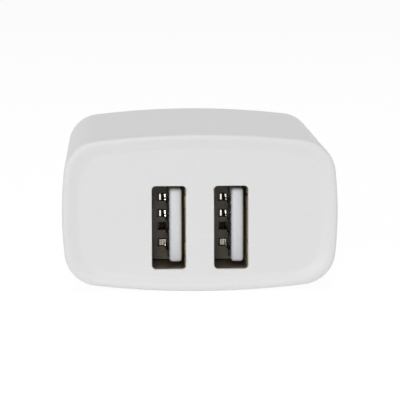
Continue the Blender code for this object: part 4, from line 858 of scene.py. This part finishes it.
# %% [markdown]
# ## Wound parts
# The transformer is tape over wire on a nylon bobbin between two ferrite halves, the choke bare wire on a ferrite
# drum. Every turn could be modelled, but a turn is finer than most views show. Noise that is stretched round the
# winding draws turns as bands, each with its own bump and highlight.

# %% Wound parts
# Ground ferrite: a dry dark grey. Its grit of 0.02 mm is drawn as 0.15 mm specks.
ferrite = mottled(
    "ground_sintered_ferrite", "#434347", "#303034", grain=0.15, rough=(0.50, 0.65), bump=0.004, IOR=1.60
)
inside["transformer_core_lower"] = inside["transformer_core_upper"] = ferrite
# Ferrite under lacquer: darker, with a slight gloss, and the same specks.
drum = mottled(
    "lacquered_ferrite_drum", "#3C3C40", "#2C2C30", grain=0.15, rough=(0.40, 0.55), bump=0.003, IOR=1.55
)
inside["filter_choke_core"] = tinned_feet(drum, "filter_choke_core")
# Enamelled wire: copper-red bands 0.22 mm apart round the drum, each with a thin bright line.
inside["filter_choke_winding"] = mottled(
    "enamelled_copper_turns",
    "#C06A34",
    "#8E481F",
    grain=0.22,
    rough=(0.22, 0.32),
    bump=0.05,
    stretch=(30.0, 30.0, 1.0),
    Metallic=METAL,
)
# Polyester tape: a glossy yellow with fine steps, 0.60 mm apart, where the wraps overlap.
inside["transformer_winding"] = mottled(
    "polyester_tape_wraps",
    "#DDB63E",
    "#CBA02C",
    grain=0.60,
    rough=(0.22, 0.32),
    bump=0.02,
    stretch=(30.0, 1.0, 30.0),
    IOR=1.60,
)
# Moulded nylon: a deep satin black. Its tool grain of 0.05 mm is drawn at 0.35 mm.
bobbin = mottled(
    "black_nylon_bobbin", "#242427", "#19191B", grain=0.35, rough=(0.40, 0.50), bump=0.003, IOR=1.53
)
inside["transformer_bobbin"] = tinned_feet(bobbin, "transformer_bobbin")
print("with wound parts:", len(inside))

# %% [markdown]
# ## Small components
# A fuse resistor and a diode are known by the rings printed round them, the chips by their matt black blocks
# between tinned leads, and the safety capacitor by its blue dip. Rings could be thin extra pieces, but as zones
# they lie in the surface, as the real print does.

# %% Small components
WIRE_REACH, LEAD_REACH = 1.46, 0.90
RINGS = ((0.30, "#6B3D1C"), (0.42, "#1C1C1C"), (0.54, "#C8A13C"), (0.68, "#C8A13C"))
RING_WIDTH = 0.55
CATHODE_PLACE, CATHODE_WIDTH, CATHODE_TONE = 0.72, 1.10, "#BFC1C2"
PRINT = (PLASTIC, 0.45)


def ring(finish, node, share, width, colour):
    """A printed ring of the given width in mm, at a share of the node's length across the charger."""
    low, high = (corner.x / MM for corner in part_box(node))
    middle = low + share * (high - low)
    zone(finish, ACROSS, middle - width / 2, middle + width / 2, colour, *PRINT)


# Baked lacquer on a ceramic rod: an eggshell grey with coloured rings. Its dust-fine grain is drawn at 0.25 mm.
lacquer = mottled(
    "grey_baked_lacquer", "#8F9598", "#80868A", grain=0.25, rough=(0.42, 0.52), bump=0.004, IOR=1.52
)
for share, colour in RINGS:
    ring(lacquer, "fuse_resistor", share, RING_WIDTH, colour)
inside["fuse_resistor"] = tinned_ends(lacquer, "fuse_resistor", WIRE_REACH)
# Moulded epoxy: a matt black with one pale ring. Its tool grain of 0.05 mm is drawn at 0.20 mm.
epoxy = mottled("black_epoxy_diode", "#26262A", "#1B1B1E", grain=0.20, rough=(0.45, 0.55), bump=0.004, IOR=1.55)
ring(epoxy, "output_diode", CATHODE_PLACE, CATHODE_WIDTH, CATHODE_TONE)
inside["output_diode"] = tinned_ends(epoxy, "output_diode", WIRE_REACH)
# Dipped epoxy: a glossy blue skin that set in soft waves, 0.80 mm apart.
dip = mottled(
    "blue_epoxy_dipped_disc", "#3568AE", "#2B5797", grain=0.80, rough=(0.18, 0.28), bump=0.010, IOR=1.55
)
inside["safety_capacitor"] = tinned_feet(dip, "safety_capacitor")
for node in ("bridge_rectifier", "optocoupler", "controller_chip"):
    # Epoxy from a spark-eroded mould: a dry black that only greys at a slant. Its grain is drawn at 0.12 mm.
    block = mottled(
        f"black_epoxy_moulded_{node}", "#29292C", "#1D1D20", grain=0.12, rough=(0.50, 0.62), bump=0.004, IOR=1.55
    )
    inside[node] = tinned_ends(block, node, LEAD_REACH)
print("with small components:", len(inside))

# %% [markdown]
# ## Springs, screws and retainer
# Springs are cut from rolled strip, so fine lines run along them; screws are barrel plated and hazy all over. An
# anisotropic shader could fake the rolled look, but stretched noise shows the lines themselves. Each finish then
# goes into the slot of its solid, which keeps its shape.

# %% Springs, screws and retainer
# Hard-rolled brass: a clear yellow with lines along the strip. The lines, some 0.01 mm, are drawn at 0.10 mm.
brass = mottled(
    "hard_rolled_brass_strip",
    "#CFAA62",
    "#BA9450",
    grain=0.10,
    rough=(0.22, 0.34),
    bump=0.001,
    stretch=(1.0, 12.0, 12.0),
    Metallic=METAL,
)
inside["mains_spring_line"] = inside["mains_spring_neutral"] = brass
# Tempered steel strip: a cool blue-grey with the same kind of lines, drawn as coarse.
inside["detent_spring"] = mottled(
    "tempered_spring_steel",
    "#8A8C90",
    "#73767B",
    grain=0.10,
    rough=(0.26, 0.38),
    bump=0.001,
    stretch=(12.0, 1.0, 1.0),
    Metallic=METAL,
)
# Zinc on screw steel: a cold, bright grey under a haze of 0.15 mm clouds.
zinc = mottled(
    "zinc_plated_screw_steel", "#C9CDD2", "#B2B7BE", grain=0.15, rough=(0.24, 0.36), bump=0.001, Metallic=METAL
)
inside["retainer_screw_1"] = inside["retainer_screw_2"] = zinc
# The retainer comes from the cover's plastic and tool, so it looks as dry and white.
inside["hinge_retainer"] = WHITE_COVER
for node, finish in inside.items():
    nodes[node].material_slots[0].material = finish
print("solids with their own finish:", len(inside))
